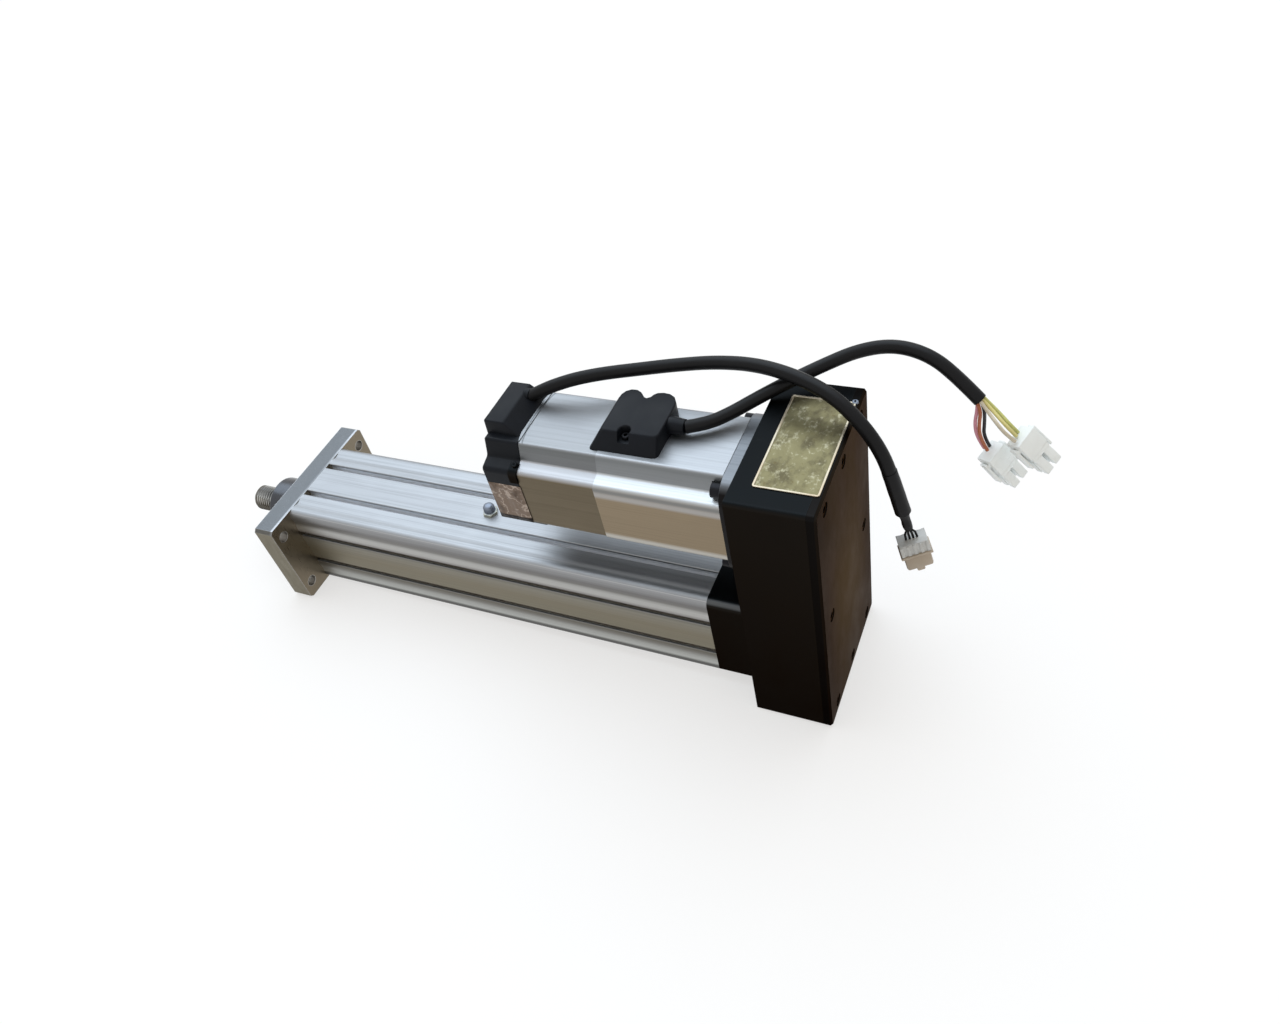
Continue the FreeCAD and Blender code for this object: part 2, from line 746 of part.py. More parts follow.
def make_housing():
    low = "0 - housing_below"
    high = "axis_spacing + housing_above"
    side = "housing_width / 2"
    body = new_body("belt_housing")
    plate = [rectangle(f"0 - {side}", side, low, high)]
    base = pad(body, new_sketch(body, plate, at="case_rear"), "housing_depth")
    fillet(body, corner_edges(base.Shape, 0), "housing_corner")
    depth = "housing_depth - housing_wall"
    pocket(body, new_sketch(body, [circle("cavity_radius")], at="case_floor"), depth)
    pocket(body, new_sketch(body, [circle("cavity_radius")], at="case_floor", up="axis_spacing"), depth)
    middle = rectangle("0 - cavity_radius", "cavity_radius", "0", "axis_spacing")
    pocket(body, new_sketch(body, [middle], at="case_floor"), depth)
    wall_holes = [circle("housing_hub_hole"), circle("pilot_radius + seat_gap", "0", "axis_spacing")]
    cavity_places = four("cavity_screw_reach", "cavity_screw_reach")
    wall_holes += circles("cavity_screw + hole_gap", cavity_places)
    pocket(body, new_sketch(body, wall_holes, at="case_front"), "housing_wall")
    sinks = circles("cavity_head + hole_gap", cavity_places)
    pocket(body, new_sketch(body, sinks, at="case_floor + cavity_head_height"), "cavity_head_height")
    motor_holes = circles("motor_bolt + hole_gap", four("motor_bolt_reach", "motor_bolt_reach"))
    motor_sketch = new_sketch(body, motor_holes, at="case_front", up="axis_spacing")
    pocket(body, motor_sketch, "motor_bolt_grip + hole_gap")
    cover_holes = circles("cover_screw + hole_gap", cover_places())
    pocket(body, new_sketch(body, cover_holes, at="case_rear + cover_grip"), "cover_grip")
    socket_screws("housing_screws", cavity_places, "(case_floor + cavity_head_height)", False,
                  "cavity_screw", "cavity_head", "cavity_head_height",
                  "housing_wall - cavity_head_height + cavity_grip", "cavity_socket")

    cover = new_body("housing_cover")
    blank = pad(cover, new_sketch(cover, plate, at="cover_rear"), "cover_thick")
    rounded = fillet(cover, corner_edges(blank.Shape, 0), "housing_corner")
    chamfer(cover, rim_edges(rounded.Shape, rounded.Shape.BoundBox.XMin), "cover_edge")
    pocket(cover, new_sketch(cover, cover_holes, at="case_rear"), "cover_thick")
    sink = "(cover_head_height + cover_head_sink)"
    sinks = circles("cover_head + hole_gap", cover_places())
    pocket(cover, new_sketch(cover, sinks, at=f"cover_rear + {sink}"), sink)
    socket_screws("cover_screws", cover_places(), f"(cover_rear + {sink})", False, "cover_screw",
                  "cover_head", "cover_head_height", f"cover_thick - {sink} + cover_grip", "cover_socket")


def cover_places():
    """Eight cover screws: three rows along both sides and one in the middle of each end."""
    rows = ("cover_screw_low", "(cover_screw_low + cover_screw_high) / 2", "cover_screw_high")
    places = [(side, row) for side in ("cover_screw_side", "0 - cover_screw_side") for row in rows]
    return places + [("0", rows[0]), ("0", rows[2])]


def make_pulley(label, bore, up, turn):
    body = new_body(label)
    face_rear = "pulley_front - pulley_face"
    pad(body, new_sketch(body, [circle("pulley_radius")], at=face_rear, up=up), "pulley_face")
    floor = "pulley_radius - tooth_height - tooth_gap"
    tip = "tooth_tip / 2 + tooth_gap"
    base = "tooth_base / 2 + tooth_gap"
    outside = "pulley_radius + tooth_gap"
    groove = [outline((floor, f"-({tip})"), (outside, f"-({base})"), (outside, base), (floor, tip))]
    sketch = new_sketch(body, groove, at="pulley_front", up=up, turn=turn)
    round_pattern(body, pocket(body, sketch, "pulley_face"), sketch, "pulley_teeth")
    for start in ("pulley_front", f"{face_rear} - rim_thick"):
        rim = [circle("pulley_radius + rim_height")]
        pad(body, new_sketch(body, rim, at=start, up=up), "rim_thick")
    pad(body, new_sketch(body, [circle("hub_radius")], at="pulley_front + rim_thick", up=up), "hub_length")
    hole = new_sketch(body, [circle(f"{bore} + seat_gap")], at="case_floor", up=up)
    pocket(body, hole, "case_floor - pulley_rear")


def make_end_screw(label, up):
    """Washer and button screw that hold a pulley on its shaft, turned as one piece."""
    washer_end = "pulley_rear - washer_thick"
    head_end = "pulley_rear - washer_thick - end_head_height"
    revolve(label, [
        (head_end, "0"), (head_end, "end_head / 2"), (washer_end, "end_head"), (washer_end, "washer_radius"),
        ("pulley_rear", "washer_radius"), ("pulley_rear", "end_screw"),
        ("end_thread - hole_gap", "end_screw"), ("end_thread - hole_gap", "0")], up=up)


def make_belt():
    """Toothed belt: a closed band round both pulleys, with evenly spaced teeth on its inside."""
    pitch_radius = value("pitch_radius")
    spacing = value("axis_spacing")
    half_turn = math.pi * pitch_radius
    loop = 2 * (spacing + half_turn)
    count = round(size("belt_teeth"))
    inner = value("pulley_radius + hole_gap")
    root = inner - size("tooth_height")
    front = value("pulley_front - (pulley_face - belt_width) / 2")
    base = size("tooth_base") / 2
    tip = size("tooth_tip") / 2
    flank = ((-base, inner), (-tip, root), (tip, root), (base, inner))

    def point(along, radius):
        """The place on the loop at a length along its pitch line and a distance from the pulley centres."""
        along %= loop
        if along < spacing:
            return Vector(front, radius, along)
        if along < spacing + half_turn:
            angle = (along - spacing) / pitch_radius
            return Vector(front, radius * math.cos(angle), spacing + radius * math.sin(angle))
        if along < 2 * spacing + half_turn:
            return Vector(front, -radius, 2 * spacing + half_turn - along)
        angle = math.pi + (along - 2 * spacing - half_turn) / pitch_radius
        return Vector(front, radius * math.cos(angle), radius * math.sin(angle))

    teeth = []
    for k in range(count):
        teeth += [point(k * loop / count + reach, radius) for reach, radius in flank]
    back = inner + size("belt_back")
    low = [Vector(front, -back, 0), Vector(front, 0, -back), Vector(front, back, 0)]
    high = [Vector(front, back, spacing), Vector(front, 0, spacing + back), Vector(front, -back, spacing)]
    sections = [Part.Arc(*low), Part.LineSegment(low[2], high[0])]
    sections += [Part.Arc(*high), Part.LineSegment(high[2], low[0])]
    outer_wire = Part.Wire([section.toShape() for section in sections])
    inner_wire = Part.makePolygon(teeth + teeth[:1])
    sweep = Vector(-size("belt_width"), 0, 0)
    belt = keep("timing_belt", doc.addObject("Part::Feature", "timing_belt"))
    belt.Shape = Part.Face(outer_wire).extrude(sweep).cut(Part.Face(inner_wire).extrude(sweep))


# Servo motor

def motor_section(inset):
    """The corners of the motor's outline: a square with an open channel along each corner."""
    half = f"(motor_size / 2 - {inset})"
    side = (half, f"({half} - channel_outer)")
    foot = (f"({half} - channel_foot)", f"({half} - channel_inner)")
    top = (f"({half} - channel_top)", half)
    quarter = [side, foot, top]
    places = [(a, b) for a, b in quarter]
    places += [(f"0 - {a}", b) for a, b in reversed(quarter)]
    places += [(f"0 - {a}", f"0 - {b}") for a, b in quarter]
    places += [(a, f"0 - {b}") for a, b in reversed(quarter)]
    return places


def lengthwise_edges(shape, places):
    """Straight edges along X that pass through the given places of the motor's section."""
    spots = [(value(y), value(f"axis_spacing + {z}")) for y, z in places]
    names = []
    for number, edge in enumerate(shape.Edges, start=1):
        box = edge.BoundBox
        middle = edge.CenterOfMass
        straight = box.YLength < 1e-4 and box.ZLength < 1e-4
        if straight and any(math.hypot(middle.y - y, middle.z - z) < 1e-3 for y, z in spots):
            names.append(f"Edge{number}")
    return names


def motor_case(label, inset, start, length, bore):
    """One casing of the motor: its section drawn out, with the channels' edges rounded."""
    body = new_body(label)
    places = motor_section(inset)
    holes = [circle(bore)] if bore else []
    base = pad(body, new_sketch(body, [outline(*places)] + holes, at=start, up="axis_spacing"), length)
    for first, radius in ((0, "channel_side"), (1, "channel_root"), (2, "channel_edge")):
        corners = [places[k] for k in (first, 5 - first, 6 + first, 11 - first)]
        base = fillet(body, lengthwise_edges(base.Shape, corners), radius)
    return body


def make_motor_casing():
    body = new_body("motor_flange")
    half = "motor_size / 2"
    plate = new_sketch(body, [centred(half, half)], at="case_front", up="axis_spacing")
    base = pad(body, plate, "motor_flange_thick")
    fillet(body, corner_edges(base.Shape, 0), "motor_flange_corner")
    pilot = new_sketch(body, [circle("pilot_radius")], at="case_front - pilot_height", up="axis_spacing")
    pad(body, pilot, "pilot_height")
    bolt_places = four("motor_bolt_reach", "motor_bolt_reach")
    holes = [circle("shaft_lip_hole")] + circles("motor_bolt + hole_gap", bolt_places)
    hole_sketch = new_sketch(body, holes, at="stator_front", up="axis_spacing")
    pocket(body, hole_sketch, "motor_flange_thick + pilot_height")
    seat = new_sketch(body, [circle("motor_bearing + seat_gap")], at="stator_front", up="axis_spacing")
    pocket(body, seat, "motor_bearing_width")
    raised = [(y, f"axis_spacing + {z}") for y, z in bolt_places]
    socket_screws("motor_bolts", raised, "stator_front", True, "motor_bolt", "motor_bolt_head",
                  "motor_bolt_head_height", "motor_flange_thick + motor_bolt_grip", "motor_bolt_socket")

    body = motor_case("stator_housing", "0", "stator_front", "stator_length", "stator_bore")
    rooms = circles("motor_bolt_head + hole_gap", bolt_places)
    room_end = "stator_front + motor_bolt_room"
    pocket(body, new_sketch(body, rooms, at=room_end, up="axis_spacing"), "motor_bolt_room")

    body = motor_case("brake_housing", "brake_step", "brake_front", "brake_length", "rear_bearing + seat_gap")
    chamber = new_sketch(body, [circle("stator_bore")], at="cap_front", up="axis_spacing")
    pocket(body, chamber, "brake_length - brake_web")
    cap_places = four("cap_screw_side", "cap_screw_up")
    cap_holes = circles("cap_screw + hole_gap", cap_places)
    blind_holes = new_sketch(body, cap_holes, at="cap_front", up="axis_spacing")
    pocket(body, blind_holes, "cap_screw_grip - cap_length + cap_screw_head_height + blind_end")

    body = motor_case("encoder_cap", "0", "cap_front", "cap_length", None)
    block = rectangle("0 - cap_block_width / 2", "cap_block_width / 2",
                      "motor_size / 2 - cap_wall", "motor_size / 2 + cap_block_height")
    base = pad(body, new_sketch(body, [block], at="cap_block_rear", up="axis_spacing"), "cap_block_length")
    chamfer(body, end_edges(base.Shape, value("cap_end")), "cap_end_edge")
    inside = new_sketch(body, [circle("cap_bore")], at="cap_end - cap_wall", up="axis_spacing")
    pocket(body, inside, "cap_length - cap_wall")
    through = new_sketch(body, cap_holes, at="cap_end", up="axis_spacing")
    pocket(body, through, "cap_length")
    sinks = circles("cap_screw_head + hole_gap", cap_places)
    pocket(body, new_sketch(body, sinks, at="cap_end", up="axis_spacing"), "cap_screw_head_height")
    raised = [(y, f"axis_spacing + {z}") for y, z in cap_places]
    socket_screws("cap_screws", raised, "(cap_end - cap_screw_head_height)", True, "cap_screw",
                  "cap_screw_head", "cap_screw_head_height", "cap_screw_grip", "cap_screw_socket")


def make_motor_inside():
    up = "axis_spacing"
    revolve("motor_shaft", [
        ("end_thread", "0"), ("end_thread", "end_screw + hole_gap"), ("pulley_rear", "end_screw + hole_gap"),
        ("pulley_rear", "shaft_radius"), ("brake_front", "shaft_radius"), ("brake_front", "shaft_rear"),
        ("shaft_end", "shaft_rear"), ("shaft_end", "0")], up=up)
    middle = "(stator_front + brake_front) / 2"
    bore = "shaft_radius + seat_gap"
    rings("rotor_core", [(f"{middle} - rotor_stack / 2", "rotor_stack", bore, "rotor_radius")], up)
    rings("stator_core", [(f"{middle} - stator_stack / 2", "stator_stack", "rotor_radius + air_gap",
                           "stator_bore - seat_gap")], up)
    front = "stator_front - motor_bearing_width"
    rings("motor_bearings_outer", [
        (front, "motor_bearing_width", "motor_bearing_split + hole_gap", "motor_bearing"),
        ("brake_front", "motor_bearing_width", "rear_bearing_split + hole_gap", "rear_bearing")], up)
    rings("motor_bearings_inner", [
        (front, "motor_bearing_width", "shaft_radius + seat_gap", "motor_bearing_split"),
        ("brake_front", "motor_bearing_width", "shaft_rear + seat_gap", "rear_bearing_split")], up)
    clear = "shaft_rear + brake_clearance"
    seat = "shaft_rear + seat_gap"
    rings("brake_coil", [("web_end", "brake_coil_width", clear, "brake_coil_radius")], up)
    rings("brake_disc", [("disc_front", "brake_disc_width", seat, "brake_disc_radius")], up)
    rings("brake_plate", [("plate_front", "brake_plate_width", clear, "stator_bore - seat_gap")], up)
    rings("encoder_disc", [("encoder_disc_front", "disc_thick", seat, "disc_radius")], up)
    rings("encoder_board", [("board_front", "board_thick", "shaft_rear / 2", "cap_bore - seat_gap")], up)


def make_power_box():
    body = new_body("power_box")
    half = "box_width / 2"
    plan = rectangle("box_rear", "box_front", f"0 - {half}", half)
    base = pad(body, new_sketch(body, [plan], plane="XY_Plane", at="motor_top"), "box_height")
    fillet(body, corner_edges(base.Shape, 2), "box_corner")
    top = "motor_top + box_height"
    slope = outline(("box_front - box_slope", top), ("box_front", f"{top} - box_slope"), ("box_front", top))
    pocket(body, new_sketch(body, [slope], plane="XZ_Plane", at=half), "box_width")
    middle = "(box_front + box_rear) / 2"
    inner_side = "(box_width / 2 - box_notch_depth)"
    notch = (f"{middle} - box_notch_width / 2", f"{middle} + box_notch_width / 2")
    notches = [rectangle(*notch, inner_side, half), rectangle(*notch, f"0 - {half}", f"0 - {inner_side}")]
    pocket(body, new_sketch(body, notches, plane="XY_Plane", at=top), "box_height - box_notch_floor")
    seat = "motor_top + box_notch_floor"
    screw_y = "(box_width / 2 - box_notch_depth / 2)"
    places = [(middle, screw_y), (middle, f"0 - {screw_y}")]
    holes = circles("box_screw + hole_gap", places)
    pocket(body, new_sketch(body, holes, plane="XY_Plane", at=seat), "box_notch_floor")
    inside = rectangle("box_rear + box_wall", "box_front - box_slope - box_wall",
                       f"box_wall - {inner_side}", f"{inner_side} - box_wall")
    room = new_sketch(body, [inside], plane="XY_Plane", at=f"{top} - box_wall")
    pocket(body, room, "box_height - box_wall")

    screws = []
    for x, y in places:
        head = doc.addObject("Part::Cylinder", "power_box_head")
        bind(head, Radius="box_screw_head", Height="box_screw_head_height")
        place_formulas(head, x, y, seat)
        shank = doc.addObject("Part::Cylinder", "power_box_shank")
        bind(shank, Radius="box_screw", Height="box_notch_floor")
        place_formulas(shank, x, y, "motor_top")
        screws.append(combine("Fuse", "power_box_screw", head, shank))
    group = keep("power_box_screws", doc.addObject("Part::Compound", "power_box_screws"))
    group.Links = screws
    doc.recompute()


def make_gland(label, back, tip, radius, cable, up, at):
    """Moulded strain relief: a collar against the wall that tapers down to the cable."""
    revolve(label, [(tip, "0"), (tip, f"{cable} + gland_lip"), (f"({tip} + 2 * {back}) / 3", radius),
                    (back, radius), (back, "0")], up=up, at=at)


# Cables and plugs

def steps(start, offsets):
    """The points of a route, from its start and the steps to each of them."""
    return [start + Vector(*offset) for offset in offsets]


def cable_path(spots):
    """Straight runs joined by tangent arcs, each arc as large as its two runs allow."""
    edges = []
    radii = []
    start = spots[0]
    for before, corner, after in zip(spots, spots[1:], spots[2:]):
        back = (before - corner).normalize()
        ahead = (after - corner).normalize()
        half_turn = (math.pi - back.getAngle(ahead)) / 2
        reach = 0.45 * min((before - corner).Length, (after - corner).Length)
        radius = reach / math.tan(half_turn)
        radii.append(radius)
        inward = (back + ahead).normalize()
        middle = corner + inward * (radius / math.cos(half_turn) - radius)
        first = corner + back * reach
        last = corner + ahead * reach
        edges.append(Part.LineSegment(start, first).toShape())
        edges.append(Part.Arc(first, middle, last).toShape())
        start = last
    edges.append(Part.LineSegment(start, spots[-1]).toShape())
    return Part.Wire(edges), radii


def cable_solid(name, points, radius):
    """A round tube along the path, with its volume compared with its section times its length."""
    path, radii = cable_path(points)
    ring = Part.Wire([Part.makeCircle(radius, points[0], points[1] - points[0])])
    solid = path.makePipeShell([ring], True, True)
    expected = math.pi * radius ** 2 * path.Length
    if abs(solid.Volume / expected - 1) > 0.01:
        raise RuntimeError(f"{name}: the tube's volume is off")
    print(f"{name}: length {path.Length:.1f}, radii {min(radii):.1f} to {max(radii):.1f}")
    return solid


def make_cable(label, points, radius_name):
    cable = keep(label, doc.addObject("Part::Feature", label))
    cable.Shape = cable_solid(label, points, size(radius_name))


def along(place, way):
    """A placement whose own +Z points the given way."""
    return Placement(place, Rotation(Vector(0, 0, 1), way))


def across_and_along(place, across, way):
    """A placement whose own +Z points the given way, with its +X as near to across as that allows."""
    return Placement(place, Rotation(across, Vector(), way, "ZXY"))


def make_encoder_plug(route):
    """The bound cores below the cable's cut end, and the plug that they lead to."""
    way = (route[-1] - route[-2]).normalize()
    sleeve = new_body("encoder_sleeve")
    pad(sleeve, new_sketch(sleeve, [circle("sleeve_radius")], plane="XY_Plane"), "sleeve_length")
    sleeve.Placement = along(route[-1], way)

    body = new_body("encoder_plug")
    half = ("encoder_plug_width / 2", "encoder_plug_depth / 2")
    base = pad(body, new_sketch(body, [centred(*half)], plane="XY_Plane"), "encoder_plug_length")
    fillet(body, corner_edges(base.Shape, 2), "encoder_collar_step")
    collar = centred(half[0] + " + encoder_collar_step", half[1] + " + encoder_collar_step")
    pad(body, new_sketch(body, [collar], plane="XY_Plane", at="encoder_collar_place"), "encoder_collar_width")
    latch = rectangle("0 - latch_width / 2", "latch_width / 2", "0", half[1] + " + encoder_collar_step")
    latch_at = "encoder_collar_place + encoder_collar_width"
    latch_length = f"encoder_plug_length - ({latch_at})"
    pad(body, new_sketch(body, [latch], plane="XY_Plane", at=latch_at), latch_length)
    plug_back = route[-1] + way * size("sleeve_length")
    body.Placement = across_and_along(plug_back, ENCODER_PLUG_ACROSS, way)
    doc.recompute()


def make_power_plug(label, place, way):
    """Four-way plug: a square housing, four contact towers in front and a latch on two sides."""
    body = new_body(label)
    shell = centred("plug_width / 2", "plug_depth / 2")
    pad(body, new_sketch(body, [shell], plane="XY_Plane"), "plug_length")
    towers = []
    for a in ("0 - ", ""):
        for b in ("0 - ", ""):
            wide = [f"{a}tower_gap / 2", f"{a}(plug_width / 2 - tower_gap / 2)"]
            tall = [f"{b}tower_gap / 2", f"{b}(plug_depth / 2 - tower_gap / 2)"]
            towers.append(rectangle(wide[0], wide[1], tall[0], tall[1]))
    pad(body, new_sketch(body, towers, plane="XY_Plane", at="plug_length"), "tower_length")
    latch = centred("plug_width / 2 + latch_step", "latch_width / 2")
    pad(body, new_sketch(body, [latch], plane="XY_Plane", at="plug_length / 3"), "plug_length / 3")
    body.Placement = along(place, way)
    doc.recompute()


def wire_routes(route, plugs):
    """Three wires for each plug, from the end of the power cable to the plug's back."""
    way = (route[-1] - route[-2]).normalize()
    side = Vector(0, 1, 0)
    upward = way.cross(side).normalize()
    across = upward.cross(way)
    cut_end = route[-1] + way * size("wire_gap")
    routes = []
    for row, (back, plug_way) in zip((1, -1), plugs):
        ahead = Vector(plug_way).normalize()
        plug_side = along(back, plug_way).Rotation.multVec(side)
        for column in (-1, 0, 1):
            pitch = size("wire_pitch")
            start = cut_end + across * (column * pitch) + upward * (row * pitch / 2)
            finish = back + plug_side * (column * size("wire_plug_pitch"))
            lead = start + way * size("wire_lead")
            tail = finish - ahead * size("wire_lead")
            bow = across * (column * size("wire_bow_side")) + upward * (row * size("wire_bow_up"))
            routes.append([start, lead, (lead + tail) * 0.5 + bow, tail, finish])
    return routes


def make_wires(routes):
    wires = []
    for number, route in enumerate(routes, start=1):
        wire = doc.addObject("Part::Feature", f"wire_{number}")
        wire.Shape = cable_solid(f"wire_{number}", route, size("wire_radius"))
        wires.append(wire)
    group = keep("power_wires", doc.addObject("Part::Compound", "power_wires"))
    group.Links = wires
    doc.recompute()


make_front_flange()
make_tube()
make_grease_plug()
make_rod_guide()
make_rod()
make_nut()
make_rear_block()
make_screw_bearings()
make_ball_screw()
make_housing()
make_pulley("driven_pulley", "pulley_seat", "0", None)
make_pulley("drive_pulley", "shaft_radius", "axis_spacing", "pulley_phase")
make_end_screw("driven_pulley_screw", "0")
make_end_screw("drive_pulley_screw", "axis_spacing")
make_belt()
make_motor_casing()
make_motor_inside()
make_power_box()
make_gland("power_gland", "box_rear", "power_gland_tip", "power_gland_radius", "power_cable_radius",
           "power_exit", "power_exit_side")
make_gland("encoder_gland", "cap_block_rear", "encoder_gland_tip", "encoder_gland_radius",
           "encoder_cable_radius", "encoder_exit", "encoder_exit_side")
encoder_start = Vector(value("encoder_gland_tip"), -value("encoder_exit_side"), value("encoder_exit"))
power_start = Vector(value("power_gland_tip"), -value("power_exit_side"), value("power_exit"))
encoder_route = steps(encoder_start, ENCODER_ROUTE)
power_route = steps(power_start, POWER_ROUTE)
power_plug_back, brake_plug_back = steps(power_start, [POWER_PLUG_BACK, BRAKE_PLUG_BACK])
make_cable("encoder_cable", encoder_route, "encoder_cable_radius")
make_cable("power_cable", power_route, "power_cable_radius")
make_encoder_plug(encoder_route)
make_power_plug("power_plug", power_plug_back, POWER_PLUG_WAY)
make_power_plug("brake_plug", brake_plug_back, BRAKE_PLUG_WAY)
make_wires(wire_routes(power_route, [(power_plug_back, POWER_PLUG_WAY), (brake_plug_back, BRAKE_PLUG_WAY)]))

doc.recompute()
failed = [item.Name for item in doc.Objects if {"Invalid", "Error"} & set(item.State)]
failed += [label for label, item in nodes.items() if item.Shape.isNull() or not item.Shape.isValid()]
if failed:
    raise RuntimeError("failed: " + ", ".join(failed))
os.makedirs("parts", exist_ok=True)
for label, item in nodes.items():
    item.Shape.exportStep(f"parts/{label}.step")
print(len(nodes), "nodes")
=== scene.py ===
import json
import math

import bmesh
import bpy
from mathutils import Matrix, Vector, noise


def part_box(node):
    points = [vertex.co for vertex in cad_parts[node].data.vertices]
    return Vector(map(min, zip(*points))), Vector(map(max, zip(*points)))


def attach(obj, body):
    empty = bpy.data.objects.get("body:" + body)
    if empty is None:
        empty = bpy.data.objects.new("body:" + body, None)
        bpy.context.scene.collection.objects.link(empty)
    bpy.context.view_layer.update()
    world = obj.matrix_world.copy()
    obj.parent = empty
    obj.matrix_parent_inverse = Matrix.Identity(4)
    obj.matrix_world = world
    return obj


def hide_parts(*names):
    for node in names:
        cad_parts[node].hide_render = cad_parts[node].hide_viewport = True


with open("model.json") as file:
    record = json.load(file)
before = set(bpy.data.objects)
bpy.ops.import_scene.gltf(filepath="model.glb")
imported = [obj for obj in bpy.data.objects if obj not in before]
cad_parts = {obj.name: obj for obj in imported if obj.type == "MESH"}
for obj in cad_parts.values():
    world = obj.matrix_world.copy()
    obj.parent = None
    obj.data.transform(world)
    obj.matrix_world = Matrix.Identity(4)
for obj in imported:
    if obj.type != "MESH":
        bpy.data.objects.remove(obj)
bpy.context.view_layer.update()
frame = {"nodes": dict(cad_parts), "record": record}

MM = 0.001
scene = bpy.context.scene
scene.view_settings.view_transform = "Standard"

# Places on the solids, in millimetres of the part's frame

TUBE_FRONT, TUBE_REAR = -18, -386
MOTOR_AXIS, MOTOR_SIDE = 112.5, 40
BRAKE_END = -265
CASE_TOP = 162


# Camera

EYE = (-597.5274, 410.8969, 563.6015)
RIGHT = (-0.9060469, -0.3829276, -0.1801261)
DOWN = (-0.1636112, 0.7095344, -0.6854139)
FORWARD = (0.3902696, -0.5915466, -0.7055227)
SENSOR_WIDTH, LENS = 36, 27.865


def link(obj):
    scene.collection.objects.link(obj)
    return obj


def make_camera():
    data = bpy.data.cameras.new("camera")
    data.sensor_fit = "HORIZONTAL"
    data.sensor_width = SENSOR_WIDTH
    data.lens = LENS
    camera = link(bpy.data.objects.new("camera", data))
    columns = [Vector(RIGHT), -Vector(DOWN), -Vector(FORWARD)]
    turn = Matrix(columns).transposed().to_4x4()
    camera.matrix_world = Matrix.Translation(Vector(EYE) * MM) @ turn
    scene.camera = camera


make_camera()


# Materials: lengths with a name are in millimetres, bare ones in metres

class Finish:
    """A material, and short ways to add the nodes that give it its detail."""

    def __init__(self, name, colour, metallic=0.0, roughness=0.5, specular=0.5):
        self.name = name
        self.material = bpy.data.materials.new(name)
        self.material.use_nodes = True
        self.tree = self.material.node_tree
        self.shader = self.tree.nodes["Principled BSDF"]
        self.colour = (*colour, 1)
        self.shader.inputs["Base Color"].default_value = self.colour
        self.shader.inputs["Metallic"].default_value = metallic
        self.shader.inputs["Roughness"].default_value = roughness
        self.shader.inputs["Specular IOR Level"].default_value = specular
        coordinates = self.node("TexCoord")
        self.place = coordinates.outputs["Object"]
        self.normal = coordinates.outputs["Normal"]

    def node(self, kind, inputs=None, **settings):
        made = self.tree.nodes.new("ShaderNode" + kind)
        for key, value in settings.items():
            setattr(made, key, value)
        for key, value in (inputs or {}).items():
            if isinstance(value, bpy.types.NodeSocket):
                self.tree.links.new(value, made.inputs[key])
            else:
                made.inputs[key].default_value = value
        return made

    def noise(self, scale, detail=3, roughness=0.55):
        """Noise with its own scale along each axis, in waves per metre."""
        place = self.node("Mapping", {"Vector": self.place, "Scale": scale}).outputs[0]
        sockets = {"Vector": place, "Scale": 1, "Detail": detail, "Roughness": roughness}
        return self.node("TexNoise", sockets).outputs[0]

    def spread(self, value, low, high, to_low=0.0, to_high=1.0):
        sockets = {"Value": value, "From Min": low, "From Max": high, "To Min": to_low, "To Max": to_high}
        return self.node("MapRange", sockets).outputs[0]

    def calculate(self, operation, one, other=0.0):
        return self.node("Math", {0: one, 1: other}, operation=operation).outputs[0]

    def times(self, one, other):
        return self.calculate("MULTIPLY", one, other)

    def size(self, value):
        return self.calculate("ABSOLUTE", value)

    def part_of(self, vector, axis):
        return self.node("SeparateXYZ", {0: vector}).outputs["XYZ".index(axis)]

    def along(self, axis):
        return self.part_of(self.place, axis)

    def from_plane(self, axis, middle):
        """Distance from a plane across an axis."""
        return self.size(self.calculate("SUBTRACT", self.along(axis), middle))

    def away(self, axis, middle=0.0):
        """Distance from the nearer of the planes at + and - middle across an axis."""
        return self.size(self.calculate("SUBTRACT", self.size(self.along(axis)), middle))

    def faces(self, axis, low=0.6, high=0.95):
        """1 on faces that look along an axis, either way."""
        return self.spread(self.size(self.part_of(self.normal, axis)), low, high)

    def edges(self, radius):
        """1 on the rim of sharp edges, 0 on the faces."""
        rounded = self.node("Bevel", {"Radius": radius}, samples=4).outputs[0]
        flat = self.node("NewGeometry").outputs["Normal"]
        same = self.node("VectorMath", {0: rounded, 1: flat}, operation="DOT_PRODUCT").outputs["Value"]
        return self.spread(same, 0.99, 0.8)

    def tones(self, half, heights):
        """A colour that changes with height, given at heights from -half to half in millimetres."""
        made = self.node("ValToRGB", {0: self.spread(self.along("Z"), -half * MM, half * MM)})
        stops = made.color_ramp.elements
        while len(stops) < len(heights):
            stops.new(0.5)
        for stop, (height, colour) in zip(stops, heights):
            stop.position = (height + half) / (2 * half)
            stop.color = (*colour, 1)
        return made.outputs[0]

    def paint(self, mask, colour, blend="MIX"):
        """Lays a colour over what is there, where the mask is 1."""
        over = colour if isinstance(colour, bpy.types.NodeSocket) else (*colour, 1)
        mixer = self.node("Mix", {0: mask, 7: over}, data_type="RGBA", blend_type=blend)
        base = self.shader.inputs["Base Color"]
        if base.is_linked:
            self.tree.links.new(base.links[0].from_socket, mixer.inputs[6])
        else:
            mixer.inputs[6].default_value = self.colour
        self.tree.links.new(mixer.outputs[2], base)

    def rough(self, value):
        self.tree.links.new(value, self.shader.inputs["Roughness"])

    def bump(self, height, strength, depth):
        normal = self.shader.inputs["Normal"]
        sockets = {"Height": height, "Strength": strength, "Distance": depth}
        if normal.is_linked:
            sockets["Normal"] = normal.links[0].from_socket
        self.tree.links.new(self.node("Bump", sockets).outputs[0], normal)


